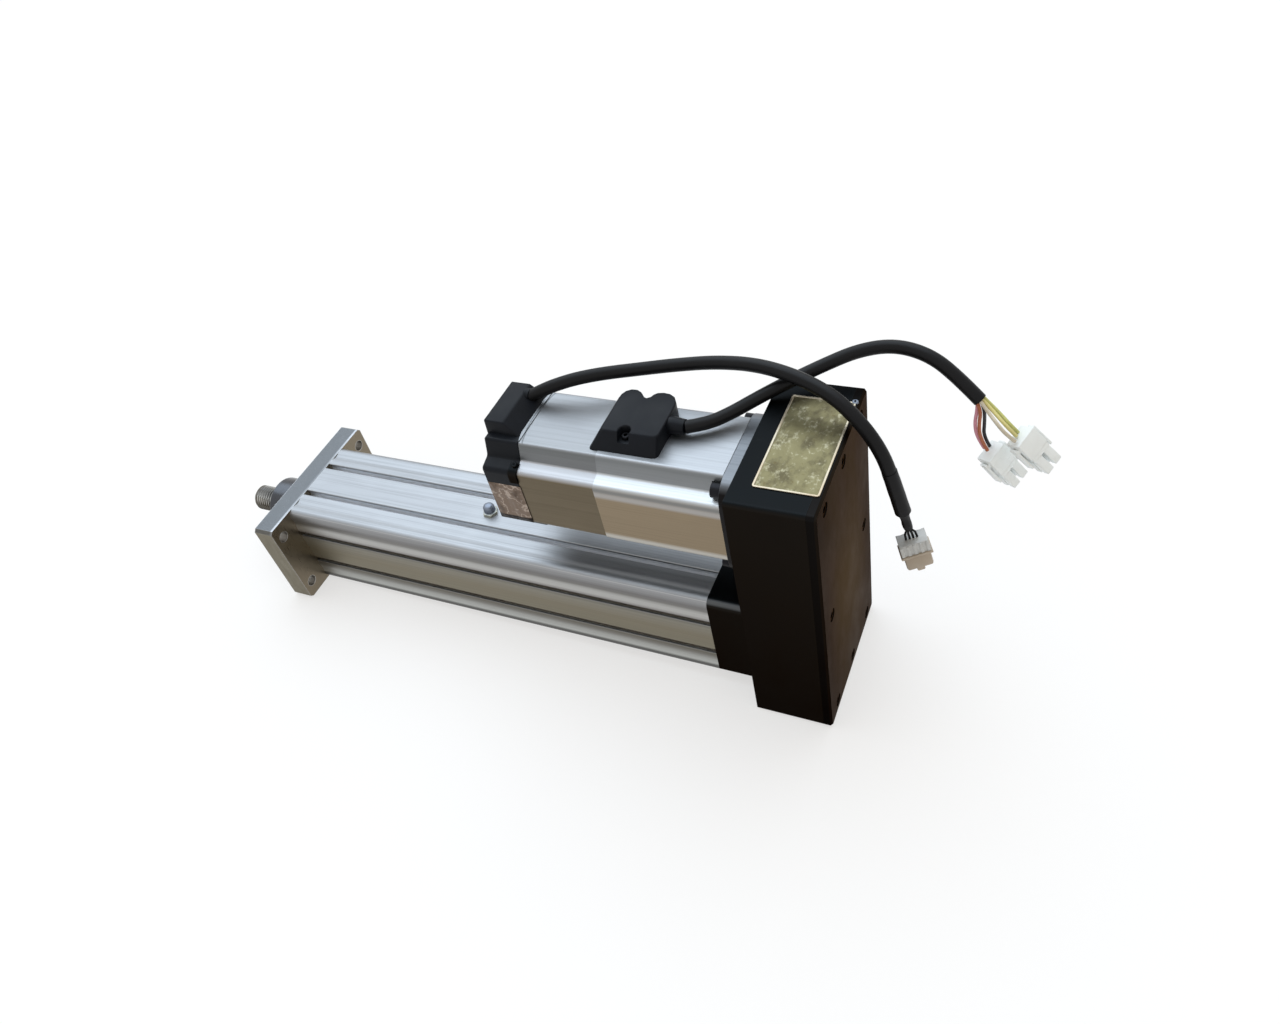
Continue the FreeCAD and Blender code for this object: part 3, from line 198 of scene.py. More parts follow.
def extrusion(name, colour, dark, light, low, high):
    """Anodised aluminium drawn along X: long die lines, soft clouds and bright worn edges."""
    finish = Finish(name, colour, metallic=1)
    lines = finish.noise((5, 900, 900), detail=4, roughness=0.7)
    fine = finish.noise((40, 4000, 4000), detail=2)
    clouds = finish.noise((14, 26, 26), detail=3)
    finish.paint(finish.spread(lines, 0.5, 0.75, 0, 0.55), dark)
    finish.paint(finish.spread(clouds, 0.5, 0.72, 0, 0.5), light)
    finish.paint(finish.times(finish.edges(0.0006), finish.spread(clouds, 0.3, 0.7, 0.2, 0.9)), light)
    finish.rough(finish.spread(lines, 0.3, 0.7, low, high))
    finish.bump(lines, 0.10, 0.0002)
    finish.bump(fine, 0.06, 0.0001)
    return finish


TUBE_HALF = 41
# Painted highlight and shade on the tube's sides, by height in millimetres: light lobes, shaded hollows and
# a warm painted reflection between the slots
SIDE_LIGHT_AND_SHADE = (
    (-41, (0.12, 0.12, 0.118)), (-33.8, (0.13, 0.13, 0.126)),
    (-31.8, (0.46, 0.47, 0.455)), (-27.5, (0.41, 0.415, 0.40)),
    (-23, (0.23, 0.223, 0.205)), (-20, (0.155, 0.145, 0.122)),
    (-12, (0.225, 0.205, 0.155)), (0, (0.225, 0.20, 0.148)),
    (10, (0.25, 0.235, 0.195)), (13, (0.19, 0.18, 0.155)),
    (19, (0.24, 0.23, 0.225)), (22, (0.45, 0.445, 0.43)),
    (25.5, (0.44, 0.435, 0.42)), (28.5, (0.24, 0.235, 0.225)),
    (32.4, (0.195, 0.19, 0.188)), (41, (0.34, 0.345, 0.352)),
)


def tube_aluminium():
    """The tube's own finish: on its sides, painted highlights on the lobes, painted shade in the hollows and
    a warm painted reflection between them; slots painted lighter to lift their shade, darker and warmer on
    the sides.
    """
    finish = extrusion("tube_aluminium", (0.295, 0.304, 0.316), (0.24, 0.246, 0.254),
                       (0.345, 0.356, 0.37), 0.40, 0.55)
    # Sides painted with highlight, shade and a warm reflection by height
    finish.paint(finish.faces("Y", 0.35, 0.85), finish.tones(TUBE_HALF, SIDE_LIGHT_AND_SHADE))
    lines = finish.noise((5, 900, 900), detail=4, roughness=0.7)
    finish.paint(finish.spread(lines, 0.52, 0.75, 0, 0.4), (0.8, 0.8, 0.8), "MULTIPLY")
    skin = finish.calculate("MAXIMUM", finish.away("Y"), finish.away("Z"))
    slots = finish.spread(skin, 0.0394, 0.0390)
    side_slots = finish.times(slots, finish.spread(finish.away("Y"), 0.0290, 0.0310))
    # Slot insides painted lighter: painted light that lifts their shade
    finish.paint(slots, (0.72, 0.74, 0.77))
    # Side slot insides painted a darker, warm grey: painted shade and warm reflection
    finish.paint(side_slots, (0.42, 0.395, 0.355))
    return finish


def motor_case(name, colour, dark, light, ledge_highlight, side, painted_strips):
    """A motor casing: satin skin, painted highlights on the ledges in its corner channels and on the rounded
    tops of its sides, painted shade on its walls, a warmer painted shade and reflection on its sides, and
    painted bands of highlight and shade along them.
    """
    finish = extrusion(name, colour, dark, light, 0.38, 0.52)
    out = finish.away("Y")
    up = finish.along("Z")
    on_side = finish.spread(out, 0.0350, 0.0375)
    walls = finish.faces("Y")
    high_walls = finish.times(walls, finish.spread(up, 0.142, 0.1505))
    ledges = finish.times(finish.faces("Z", 0.25, 0.7), finish.spread(out, 0.0285, 0.0300))
    # Walls along Y painted darker, and those just under the top darker still: painted shade
    finish.paint(walls, (0.80, 0.80, 0.79), "MULTIPLY")
    finish.paint(high_walls, (0.76, 0.77, 0.76), "MULTIPLY")
    # Painted highlight on the ledges in the corner channels
    finish.paint(ledges, ledge_highlight)
    # Outer sides painted warmer and darker: painted shade and warm reflection
    finish.paint(finish.times(walls, on_side), side, "MULTIPLY")
    # Painted highlight on the rounded tops of the sides
    finish.paint(finish.times(on_side, finish.spread(up, 0.1342, 0.1375)), ledge_highlight)
    # Painted bands of highlight and shade along the sides
    for middle, width, tone in painted_strips:
        height = finish.from_plane("Z", MOTOR_AXIS * MM + middle)
        strip = finish.times(on_side, finish.spread(height, width, width * 0.3))
        finish.paint(finish.spread(strip, 0, 1, 0, 0.85), tone)
    return finish


def stator_aluminium():
    """The stator's aluminium, with painted bands of highlight and shade on its sides; each has its height
    from the motor's axis, its width and its tone.
    """
    painted_strips = (
        (0.0215, 0.0032, (0.205, 0.212, 0.214)),
        (0.0176, 0.0036, (0.40, 0.388, 0.380)),
        (-0.0215, 0.0042, (0.52, 0.505, 0.47)),
    )
    # The fourth colour is a painted highlight for the corner channels, the fifth a painted warm shade and
    # reflection for the sides
    return motor_case("motor_aluminium", (0.315, 0.325, 0.338), (0.27, 0.278, 0.288),
                      (0.355, 0.367, 0.382), (0.48, 0.498, 0.510), (1.06, 0.81, 0.53), painted_strips)


BRAKE_BOW, LIP_HALF, BRAKE_JOINT = 3.5, 25.5, -264.3


def brake_aluminium():
    """The brake's darker aluminium, with its bowed joint line across the top."""
    # The fourth colour is a painted highlight for the corner channels, the fifth a painted warm shade and
    # reflection for the sides
    finish = motor_case("brake_aluminium", (0.255, 0.262, 0.27), (0.22, 0.225, 0.23),
                        (0.29, 0.299, 0.308), (0.37, 0.375, 0.388), (0.70, 0.55, 0.36), ())
    across = finish.along("Y")
    bow = finish.times(finish.times(across, across), BRAKE_BOW * MM / (LIP_HALF * MM) ** 2)
    bowed = finish.calculate("ADD", finish.along("X"), bow)
    joint = finish.size(finish.calculate("SUBTRACT", bowed, BRAKE_JOINT * MM))
    on_top = finish.times(finish.faces("Z"), finish.spread(finish.away("Y"), 0.0262, 0.0258))
    line = finish.times(on_top, finish.spread(joint, 0.0007, 0.0003))
    finish.paint(finish.spread(line, 0, 1, 0, 0.7), (0.09, 0.095, 0.10))
    return finish


def motor_flange():
    """The motor's front flange: grey on top, and near-black on the sides along Y that meet the case."""
    finish = extrusion("motor_flange", (0.152, 0.161, 0.173), (0.108, 0.115, 0.123),
                       (0.196, 0.208, 0.222), 0.34, 0.48)
    # Sides along Y painted near-black
    finish.paint(finish.faces("Y", 0.4, 0.8), (0.012, 0.011, 0.011))
    return finish


def anodised(name, colour, worn, low, high):
    """Black anodised plate: fine blasted grain, faint handling marks and edges worn to grey."""
    finish = Finish(name, colour, metallic=1, roughness=low)
    finish.shader.inputs["Specular Tint"].default_value = (0.40, 0.36, 0.33, 1)
    grain = finish.noise((1600, 1600, 1600), detail=2)
    marks = finish.noise((30, 30, 18), detail=5, roughness=0.65)
    scuffs = finish.noise((60, 260, 60), detail=4, roughness=0.7)
    rubbed_and_sheen = finish.times(finish.edges(0.0007), finish.spread(marks, 0.35, 0.65, 0.05, 0.6))
    finish.paint(finish.spread(marks, 0.42, 0.75, 0, 0.8), worn)
    finish.paint(finish.spread(scuffs, 0.66, 0.78, 0, 0.30), tuple(2.2 * part for part in worn))
    finish.paint(rubbed_and_sheen, (0.05, 0.048, 0.046))
    finish.rough(finish.spread(marks, 0.3, 0.7, low, high))
    finish.bump(grain, 0.08, 0.0001)
    return finish


def black_case():
    """The case: blue-black, with its sides painted a warmer brown-black as a painted reflection, and a
    painted grey highlight on the bearing block's rounded corners.
    """
    finish = anodised("black_case", (0.0078, 0.0090, 0.0098), (0.0105, 0.0115, 0.0122), 0.34, 0.50)
    # Sides painted a warmer brown-black: painted warm reflection
    finish.paint(finish.faces("Y"), (0.0130, 0.0112, 0.0096))
    # Painted grey highlight on rounded corners, kept low so that only the bearing block has it
    corner = finish.times(finish.faces("Y", 0.30, 0.55), finish.faces("Z", 0.40, 0.65))
    low = finish.spread(finish.along("Z"), 0.060, 0.050)
    finish.paint(finish.times(corner, low), (0.085, 0.088, 0.090))
    return finish


def cover_black():
    """The case's rear cover: black, with a brown painted reflection on its face along X that is lighter in
    the middle as a painted glow and fades darker towards its sides, and near-black on faces that don't look
    along X.
    """
    # The brown base colour is a painted warm reflection on black anodising
    finish = anodised("cover_black", (0.040, 0.029, 0.0185), (0.072, 0.054, 0.034), 0.30, 0.46)
    across = finish.away("Y")
    painted_glow = finish.spread(finish.from_plane("Z", 0.045), 0.085, 0.015, 0, 0.6)
    # The painted reflection fades darker towards the sides
    finish.paint(finish.spread(across, 0.020, 0.056, 0, 0.75), (0.016, 0.012, 0.009))
    # Painted glow, lighter in the middle
    finish.paint(finish.times(finish.spread(across, 0.050, 0.010), painted_glow), (0.095, 0.066, 0.036))
    # Faces that don't look along X are near-black, without the painted reflection
    finish.paint(finish.spread(finish.faces("X", 0.6, 0.9), 1, 0), (0.0085, 0.0080, 0.0078))
    return finish


def moulded(name, colour, worn, low, high, specular, grain_scale=1800):
    """Moulded plastic or rubber: fine grain and slightly duller worn places."""
    finish = Finish(name, colour, roughness=low, specular=specular)
    grain = finish.noise((grain_scale, grain_scale, grain_scale), detail=2)
    patches = finish.noise((45, 45, 45), detail=4)
    finish.paint(finish.spread(patches, 0.45, 0.75, 0, 0.7), worn)
    finish.rough(finish.spread(patches, 0.3, 0.7, low, high))
    finish.bump(grain, 0.12, 0.0001)
    return finish


def turned(name, colour, dark, low, high):
    """Turned or ground steel: rings round X and light tarnish."""
    finish = Finish(name, colour, metallic=1)
    rings = finish.noise((2600, 60, 60), detail=3)
    stain_and_sheen = finish.noise((70, 70, 70), detail=4)
    finish.paint(finish.spread(stain_and_sheen, 0.45, 0.8, 0, 0.7), dark)
    finish.rough(finish.spread(rings, 0.3, 0.7, low, high))
    finish.bump(rings, 0.10, 0.0001)
    return finish


STUD_RADIUS = 11
# Painted highlight and shade round the stud, by height in millimetres
STUD_LIGHT_AND_SHADE = (
    (-11, (0.058, 0.053, 0.042)), (-3, (0.066, 0.060, 0.048)), (1, (0.12, 0.11, 0.092)),
    (3, (0.19, 0.178, 0.155)), (5.3, (0.42, 0.41, 0.39)), (7.4, (0.58, 0.585, 0.565)),
    (8.8, (0.36, 0.365, 0.355)), (10.4, (0.14, 0.142, 0.14)), (11, (0.13, 0.132, 0.13)),
)


def stud_steel():
    """The threaded end's oiled steel: a painted highlight along each upper side with painted shade above and
    below it, and darker at its tip.
    """
    finish = turned("stud_steel", (0.56, 0.555, 0.525), (0.26, 0.235, 0.19), 0.16, 0.30)
    worn = finish.noise((70, 70, 70), detail=4)
    # Painted highlight and shade by height; the noise makes it a little patchy
    finish.paint(finish.spread(worn, 0.3, 0.7, 1.0, 0.94), finish.tones(STUD_RADIUS, STUD_LIGHT_AND_SHADE))
    finish.paint(finish.spread(finish.along("X"), 0.0632, 0.0644), (0.15, 0.138, 0.115))
    return finish


def nipple_steel():
    """Blued steel with a brassy skirt at its foot."""
    finish = turned("nipple_steel", (0.20, 0.225, 0.27), (0.12, 0.135, 0.16), 0.42, 0.55)
    finish.paint(finish.spread(finish.along("Z"), 0.0436, 0.0430), (0.44, 0.44, 0.37))
    return finish


FLANGE_HOLE = (56, 28)


def flange_steel():
    """Milled steel plate: crossed cutter marks and blue-grey clouds, its sides painted warm and its faces
    along X painted lighter as painted reflection, and painted highlights along the top of its rear edge, on
    its edges and in its holes.
    """
    finish = Finish("flange_steel", (0.105, 0.11, 0.115), metallic=1)
    marks = finish.noise((260, 1500, 90), detail=3)
    clouds = finish.noise((40, 40, 40), detail=4)
    finish.paint(finish.spread(clouds, 0.4, 0.75, 0, 0.8), (0.095, 0.10, 0.105))
    finish.paint(finish.spread(marks, 0.55, 0.75, 0, 0.4), (0.20, 0.205, 0.21))
    # Sides painted warm: painted warm reflection
    finish.paint(finish.faces("Y"), (0.150, 0.130, 0.086))
    # Faces along X painted lighter: painted reflection
    finish.paint(finish.faces("X"), (0.22, 0.185, 0.135))
    # Painted highlight along the top of the rear edge, stronger towards the ears
    rear_edge = finish.times(finish.faces("Z"), finish.spread(finish.along("X"), -0.0156, -0.0164))
    rubbed_and_sheen = finish.times(rear_edge, finish.spread(finish.away("Y"), 0.010, 0.055, 0.15, 0.75))
    finish.paint(rubbed_and_sheen, (0.40, 0.41, 0.43))
    # Painted highlight on the sharp edges
    finish.paint(finish.edges(0.0010), (0.46, 0.46, 0.46))
    # Painted light in the bolt holes and round their rims
    squares = []
    for axis, middle in zip("YZ", FLANGE_HOLE):
        reach = finish.away(axis, middle * MM)
        squares.append(finish.times(reach, reach))
    holes = finish.spread(finish.calculate("ADD", *squares), 0.0050 ** 2, 0.0047 ** 2)
    finish.paint(holes, (0.46, 0.44, 0.41))
    finish.rough(finish.spread(marks, 0.3, 0.7, 0.26, 0.44))
    finish.bump(marks, 0.08, 0.0002)
    return finish


def gold_plate():
    """Old gilded plate: tarnish in clouds, worn pale spots and a fine grain."""
    finish = Finish("gold_plate", (0.142, 0.124, 0.065), metallic=1)
    tarnish = finish.noise((85, 60, 85), detail=6, roughness=0.68)
    spots = finish.noise((230, 170, 230), detail=5, roughness=0.7)
    grain = finish.noise((1500, 1500, 1500), detail=2)
    finish.paint(finish.spread(tarnish, 0.47, 0.62, 0, 0.75), (0.076, 0.064, 0.037))
    finish.paint(finish.spread(spots, 0.54, 0.66, 0, 0.85), (0.30, 0.275, 0.185))
    finish.paint(finish.spread(spots, 0.40, 0.30, 0, 0.7), (0.090, 0.066, 0.027))
    finish.rough(finish.spread(tarnish, 0.3, 0.7, 0.28, 0.5))
    finish.bump(spots, 0.25, 0.0003)
    finish.bump(grain, 0.10, 0.0001)
    return finish


def label_foil():
    """Brown metal foil: painted shade in its creases, painted highlights along them and in small spots, and
    a dark strip along its foot.
    """
    finish = Finish("label_foil", (0.175, 0.130, 0.100), metallic=1, roughness=0.3)
    creases = finish.noise((75, 40, 95), detail=3, roughness=0.5)
    stain_and_sheen = finish.noise((300, 300, 300), detail=4)
    crease_highlight = finish.size(finish.calculate("SUBTRACT", creases, 0.47))
    # Painted shade in the creases
    finish.paint(finish.spread(creases, 0.52, 0.68, 0, 0.8), (0.065, 0.045, 0.034))
    # Small painted highlight spots
    finish.paint(finish.spread(stain_and_sheen, 0.58, 0.74, 0, 0.7), (0.40, 0.34, 0.29))
    # Painted highlight along the crease crests
    finish.paint(finish.spread(crease_highlight, 0.026, 0.004, 0, 0.6), (0.48, 0.40, 0.34))
    finish.paint(finish.spread(finish.along("Z"), 0.0948, 0.0938), (0.012, 0.009, 0.008))
    finish.bump(creases, 0.6, 0.001)
    return finish


# Each has its colour, its tarnish and its lowest and highest roughness

TURNED = {
    "rod_steel": ((0.070, 0.073, 0.080), (0.042, 0.043, 0.046), 0.18, 0.30),
    "black_screws": ((0.018, 0.018, 0.020), (0.010, 0.010, 0.011), 0.35, 0.5),
    "bearing_steel": ((0.55, 0.55, 0.56), (0.42, 0.42, 0.43), 0.16, 0.3),
    "carrier_aluminium": ((0.62, 0.63, 0.65), (0.50, 0.51, 0.53), 0.26, 0.4),
    "bush_bronze": ((0.56, 0.40, 0.18), (0.40, 0.26, 0.10), 0.3, 0.45),
    "core_steel": ((0.30, 0.30, 0.31), (0.20, 0.20, 0.20), 0.35, 0.5),
    "gold_rim": ((0.42, 0.37, 0.28), (0.30, 0.20, 0.11), 0.3, 0.45),
}

# Each has its colour, its worn colour, its lowest and highest roughness and its gloss

MOULDED = {
    "black_plastic": ((0.0055, 0.0068, 0.0095), (0.0085, 0.0102, 0.0145), 0.36, 0.52, 0.12),
    "seal_rubber": ((0.014, 0.014, 0.014), (0.022, 0.022, 0.022), 0.5, 0.65, 0.3),
    "ring_plastic": ((0.28, 0.20, 0.11), (0.34, 0.26, 0.15), 0.45, 0.6, 0.4),
    "belt_rubber": ((0.02, 0.02, 0.02), (0.03, 0.03, 0.03), 0.55, 0.7, 0.3),
    "coil": ((0.35, 0.12, 0.04), (0.42, 0.17, 0.06), 0.3, 0.45, 0.5),
    "friction": ((0.09, 0.08, 0.07), (0.13, 0.12, 0.10), 0.7, 0.85, 0.2),
    "board": ((0.02, 0.13, 0.05), (0.03, 0.17, 0.07), 0.3, 0.4, 0.5),
    "plug_white": ((0.86, 0.90, 0.90), (0.78, 0.82, 0.82), 0.25, 0.40, 0.5),
    "plug_grey": ((0.52, 0.53, 0.52), (0.36, 0.36, 0.35), 0.20, 0.35, 0.5),
    "plug_beige": ((0.42, 0.35, 0.27), (0.33, 0.27, 0.20), 0.3, 0.45, 0.5),
    "contact_dark": ((0.03, 0.028, 0.026), (0.05, 0.045, 0.04), 0.5, 0.6, 0.3),
}
SHEATH_GRAIN = 900
WIRE_COLOURS = {
    "power_wire_1": (0.02, 0.02, 0.022),
    "power_wire_2": (0.70, 0.32, 0.40),
    "power_wire_3": (0.42, 0.13, 0.06),
    "brake_wire_1": (0.55, 0.56, 0.20),
    "brake_wire_2": (0.72, 0.66, 0.27),
    "brake_wire_3": (0.60, 0.54, 0.42),
}


def make_finishes():
    """Every finish by its name; the record's material slots are among them."""
    own = (flange_steel, tube_aluminium, stator_aluminium, brake_aluminium, motor_flange, black_case,
           cover_black, stud_steel, nipple_steel, gold_plate, label_foil)
    made = [make() for make in own]
    made += [turned(name, *values) for name, values in TURNED.items()]
    made += [moulded(name, *values) for name, values in MOULDED.items()]
    made.append(moulded("cable_black", (0.0050, 0.0050, 0.0056), (0.008, 0.008, 0.0088),
                        0.34, 0.50, 0.16, SHEATH_GRAIN))
    made.append(moulded("wire_sheath", (0.58, 0.50, 0.06), (0.50, 0.50, 0.10), 0.35, 0.5, 0.4, SHEATH_GRAIN))
    for name, colour in WIRE_COLOURS.items():
        worn = tuple(0.8 * part for part in colour)
        made.append(moulded(name, colour, worn, 0.35, 0.5, 0.4, SHEATH_GRAIN))
    return {finish.name: finish for finish in made}


FINISHES = make_finishes()


# Cords

POWER_ROUTE = [
    (-373.5, -3, 159), (-385.5, -8.2, 159), (-398, -18.7, 160.7), (-412, -30, 165.6),
    (-428.5, -41.8, 171.3), (-447, -57.2, 175), (-466, -69.5, 179.5), (-487, -74, 182.6),
    (-508.4, -71, 180), (-526, -66, 169.5), (-540, -62, 157.4),
]
ENCODER_ROUTE = [
    (-256.5, -13, 157.9), (-264.5, -15.8, 161.6), (-274.2, -19.7, 164.8), (-287.5, -25, 167.7),
    (-304.7, -33.1, 168.1), (-326.3, -40.8, 168.3), (-351.8, -46.5, 170.9), (-380.2, -47.3, 176.4),
    (-409.2, -43.1, 181.5), (-436.6, -35.2, 182.6), (-461.4, -26.7, 178.3), (-479.2, -18.9, 167.4),
    (-491.6, -14.5, 152.3), (-498.7, -11.9, 135.2), (-505.7, -13.8, 102.6),
]
WIRE_ROUTES = {
    "power_wire_1": [(-539.7, -64.5, 155.9), (-542.9, -62, 151.6), (-543.4, -64, 138),
                     (-543.6, -62.4, 128.8), (-548, -62.3, 120.9)],
    "power_wire_2": [(-538.6, -61.6, 156.4), (-539.3, -58.7, 153.1), (-538.3, -58.3, 141.3),
                     (-540.8, -57.7, 130.8), (-545.3, -58, 123.1)],
    "power_wire_3": [(-539, -59.5, 156.6), (-541.6, -57.4, 153), (-541.1, -56.5, 143.4),
                     (-542.4, -56, 132.7), (-547.5, -55.3, 123.9)],
    "brake_wire_1": [(-541.4, -64.5, 157.9), (-546.8, -63.2, 153.3), (-553.6, -59.9, 148.9),
                     (-558.6, -56.5, 146), (-563.8, -57.4, 139.5)],
    "brake_wire_2": [(-541, -62, 158.3), (-546.5, -60.3, 153.3), (-553.2, -55.1, 150.2),
                     (-558.4, -52.3, 146.5), (-563.2, -53.3, 140.4)],
    "brake_wire_3": [(-540.6, -59.4, 158.6), (-545.9, -56.8, 153), (-552.3, -49.5, 151.1),
                     (-557.5, -47, 146.7), (-563.1, -48.5, 140.5)],
}
POWER_WIDTH, ENCODER_WIDTH, WIRE_WIDTH = 8.6, 9.0, 2.2


def cord(name, route, diameter, finish, node):
    """A cable or a core: a round line along its route."""
    data = bpy.data.curves.new(name, "CURVE")
    data.dimensions = "3D"
    spline = data.splines.new("NURBS")
    spline.points.add(len(route) - 1)
    for point, place in zip(spline.points, route):
        point.co = (*(Vector(place) * MM), 1)
    spline.order_u = 3
    spline.use_endpoint_u = True
    spline.resolution_u = 12
    data.bevel_depth = diameter * MM / 2
    data.bevel_resolution = 6
    data.use_fill_caps = True
    data.materials.append(FINISHES[finish].material)
    obj = link(bpy.data.objects.new(name, data))
    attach(obj, "cylinder")
    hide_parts(node)
    return obj


def line_of(curve):
    """Points along a cord's own spline, in millimetres."""
    bare = curve.copy()
    bare.data = curve.data.copy()
    bare.data.bevel_depth = 0
    mesh = bpy.data.meshes.new_from_object(bare)
    points = [vertex.co / MM for vertex in mesh.vertices]
    bpy.data.meshes.remove(mesh)
    bpy.data.objects.remove(bare)
    return points


def cord_length(curve):
    points = line_of(curve)
    return sum((b - a).length for a, b in zip(points, points[1:])) * MM


power_cable = cord("power_lead", POWER_ROUTE, POWER_WIDTH, "cable_black", "power_cable")
encoder_cable = cord("encoder_lead", ENCODER_ROUTE, ENCODER_WIDTH, "cable_black", "encoder_cable")
wires = {}
for name, route in WIRE_ROUTES.items():
    wires[name] = cord(name, route, WIRE_WIDTH, name, "power_wires")


# Mesh helpers, in millimetres of the part's frame

MOULD_EDGE = 1.1


def piece(name, bm, finish, node=None, body="cylinder", angle=35):
    """A mesh piece on a body, with its finish and the node it stands for."""
    bmesh.ops.recalc_face_normals(bm, faces=bm.faces)
    mesh = bpy.data.meshes.new(name)
    bm.to_mesh(mesh)
    bm.free()
    mesh.transform(Matrix.Scale(MM, 4))
    mesh.shade_smooth()
    mesh.set_sharp_from_angle(angle=math.radians(angle))
    mesh.materials.append(FINISHES[finish].material)
    obj = link(bpy.data.objects.new(name, mesh))
    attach(obj, body)
    if node:
        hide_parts(node)
    return obj


def pairs_round(ring):
    """Each point of a ring with the next one."""
    return list(zip(ring, ring[1:] + ring[:1]))


def bridge(bm, one, other):
    """The side faces between two rings."""
    made = []
    for (a, b), (c, d) in zip(pairs_round(one), pairs_round(other)):
        made.append(bm.faces.new((a, b, d, c)))
    return made


def loft(bm, rings):
    """A closed body through rings."""
    for one, other in zip(rings, rings[1:]):
        bridge(bm, one, other)
    bm.faces.new(rings[0])
    bm.faces.new(rings[-1])


def soften(bm, edges):
    """Rounds the edges of a moulded cover."""
    bmesh.ops.bevel(bm, geom=edges, offset=MOULD_EDGE, segments=3, profile=0.5, affect="EDGES",
                    clamp_overlap=True)


def block(bm, low, high, edge, place):
    """A box with rounded edges, turned and moved to its place."""
    low, high = Vector(low), Vector(high)
    made = bmesh.ops.create_cube(bm, size=1)["verts"]
    shape = Matrix.Translation((low + high) / 2) @ Matrix.Diagonal((*(high - low), 1))
    bmesh.ops.transform(bm, matrix=shape, verts=made)
    edges = list({e for v in made for e in v.link_edges})
    rounded = bmesh.ops.bevel(bm, geom=edges, offset=edge, segments=2, profile=0.5, affect="EDGES")
    bmesh.ops.transform(bm, matrix=place, verts=rounded["verts"])


def tube(bm, points, radii, sides=24, wave=None):
    """A swept tube with a radius at each point and closed ends."""
    rings = []
    side = Vector((0, 1, 0))
    for number, (point, radius) in enumerate(zip(points, radii)):
        ahead = points[min(number + 1, len(points) - 1)] - points[max(number - 1, 0)]
        ahead.normalize()
        side = (side - ahead * side.dot(ahead)).normalized()
        over = ahead.cross(side)
        ring = []
        for step in range(sides):
            angle = math.tau * step / sides
            swell = radius + (wave(number, angle) if wave else 0)
            ring.append(bm.verts.new(point + (side * math.cos(angle) + over * math.sin(angle)) * swell))
        rings.append(ring)
    loft(bm, rings)


def facing(back, way, across):
    """The place of a plug: its +Z runs along its way from its back, and its +X lies nearest to across."""
    side = (across - way * across.dot(way)).normalized()
    turn = Matrix((side, way.cross(side), way)).transposed()
    return Matrix.Translation(back) @ turn.to_4x4()


# Drawn tube

TUBE_CORNER, TUBE_BORE = 6, 31
KEY_HALF, KEY_REACH = 5, 34
SLOT_MIDDLE, MOUTH_HALF, ROOM_HALF = 16, 2.5, 4
SLOT_LIP, SLOT_FLOOR, BROKEN_EDGE = 39, 34.5, 0.4
VALLEY_START, VALLEY_STEPS, VALLEY_DEPTH = 22.5, 12, 0.8


def half_slot(side):
    """One side of a slot, from the tube's face down to the slot's floor."""
    mouth = SLOT_MIDDLE + side * MOUTH_HALF
    room = SLOT_MIDDLE + side * ROOM_HALF
    return [(mouth + side * BROKEN_EDGE, TUBE_HALF), (mouth, TUBE_HALF - BROKEN_EDGE), (mouth, SLOT_LIP),
            (room, SLOT_LIP), (room, SLOT_FLOOR)]


def half_face():
    """Half of a tube face, from its middle to its rounded corner: slot, rib and valley."""
    line = [(0, TUBE_HALF), *half_slot(-1), *reversed(half_slot(1)), (VALLEY_START, TUBE_HALF)]
    for step in range(1, VALLEY_STEPS):
        sunk = VALLEY_DEPTH / 2 * (1 - math.cos(math.tau * step / VALLEY_STEPS))
        line.append((VALLEY_START + step, TUBE_HALF - sunk))
    centre = TUBE_HALF - TUBE_CORNER
    for step in range(4):
        angle = math.radians(90 - 15 * step)
        line.append((centre + TUBE_CORNER * math.cos(angle), centre + TUBE_CORNER * math.sin(angle)))
    return line


def tube_outline():
    """The same face four times round."""
    line = half_face()
    face = line + [(up, along) for along, up in reversed(line)][1:]
    points = []
    for turn in range(4):
        spin = Matrix.Rotation(math.radians(-90 * turn), 2)
        points += [spin @ Vector(place) for place in face[:-1]]
    return points


def tube_bore():
    """The round bore with a keyway on each side."""
    mouth = math.sqrt(TUBE_BORE ** 2 - KEY_HALF ** 2)
    keyway = [(mouth, -KEY_HALF), (KEY_REACH, -KEY_HALF), (KEY_REACH, KEY_HALF), (mouth, KEY_HALF)]
    start = math.asin(KEY_HALF / TUBE_BORE)
    steps = 30
    half = [Vector(place) for place in keyway]
    for step in range(1, steps):
        angle = start + (math.pi - 2 * start) * step / steps
        half.append(Vector((TUBE_BORE * math.cos(angle), TUBE_BORE * math.sin(angle))))
    return half + [-place for place in half]


def drawn_tube():
    """The tube between its outline and its bore, open at both ends."""
    bm = bmesh.new()
    ends = {TUBE_REAR: [], TUBE_FRONT: []}
    for line in (tube_outline(), tube_bore()):
        rings = [[bm.verts.new((x, place.x, place.y)) for place in line] for x in ends]
        bridge(bm, *rings)
        for loops, ring in zip(ends.values(), rings):
            loops += [bm.edges.get(pair) for pair in pairs_round(ring)]
    for loops in ends.values():
        bmesh.ops.triangle_fill(bm, edges=loops, use_beauty=True)
    piece("tube_profile", bm, "tube_aluminium", "cylinder_tube", angle=40)


drawn_tube()


# Threaded rod end

STUD_START, THREAD_START, STUD_END = 30.0, 39.5, 66.5
NECK_RADIUS, THREAD_DEPTH, PITCH = 9.0, 1.35, 2.5
FLANK_SLOPE, CREST_SHARE = 1.25, 0.12


def thread_radius(x, turn):
    """The stud's radius at a place along it and a share of a turn round it."""
    if x < THREAD_START:
        return NECK_RADIUS
    phase = (x / PITCH - turn) % 1
    groove = min(1, max(0, FLANK_SLOPE * abs(2 * phase - 1) - CREST_SHARE))
    chamfer = NECK_RADIUS + STUD_END - x
    return min(STUD_RADIUS - THREAD_DEPTH * groove, chamfer)


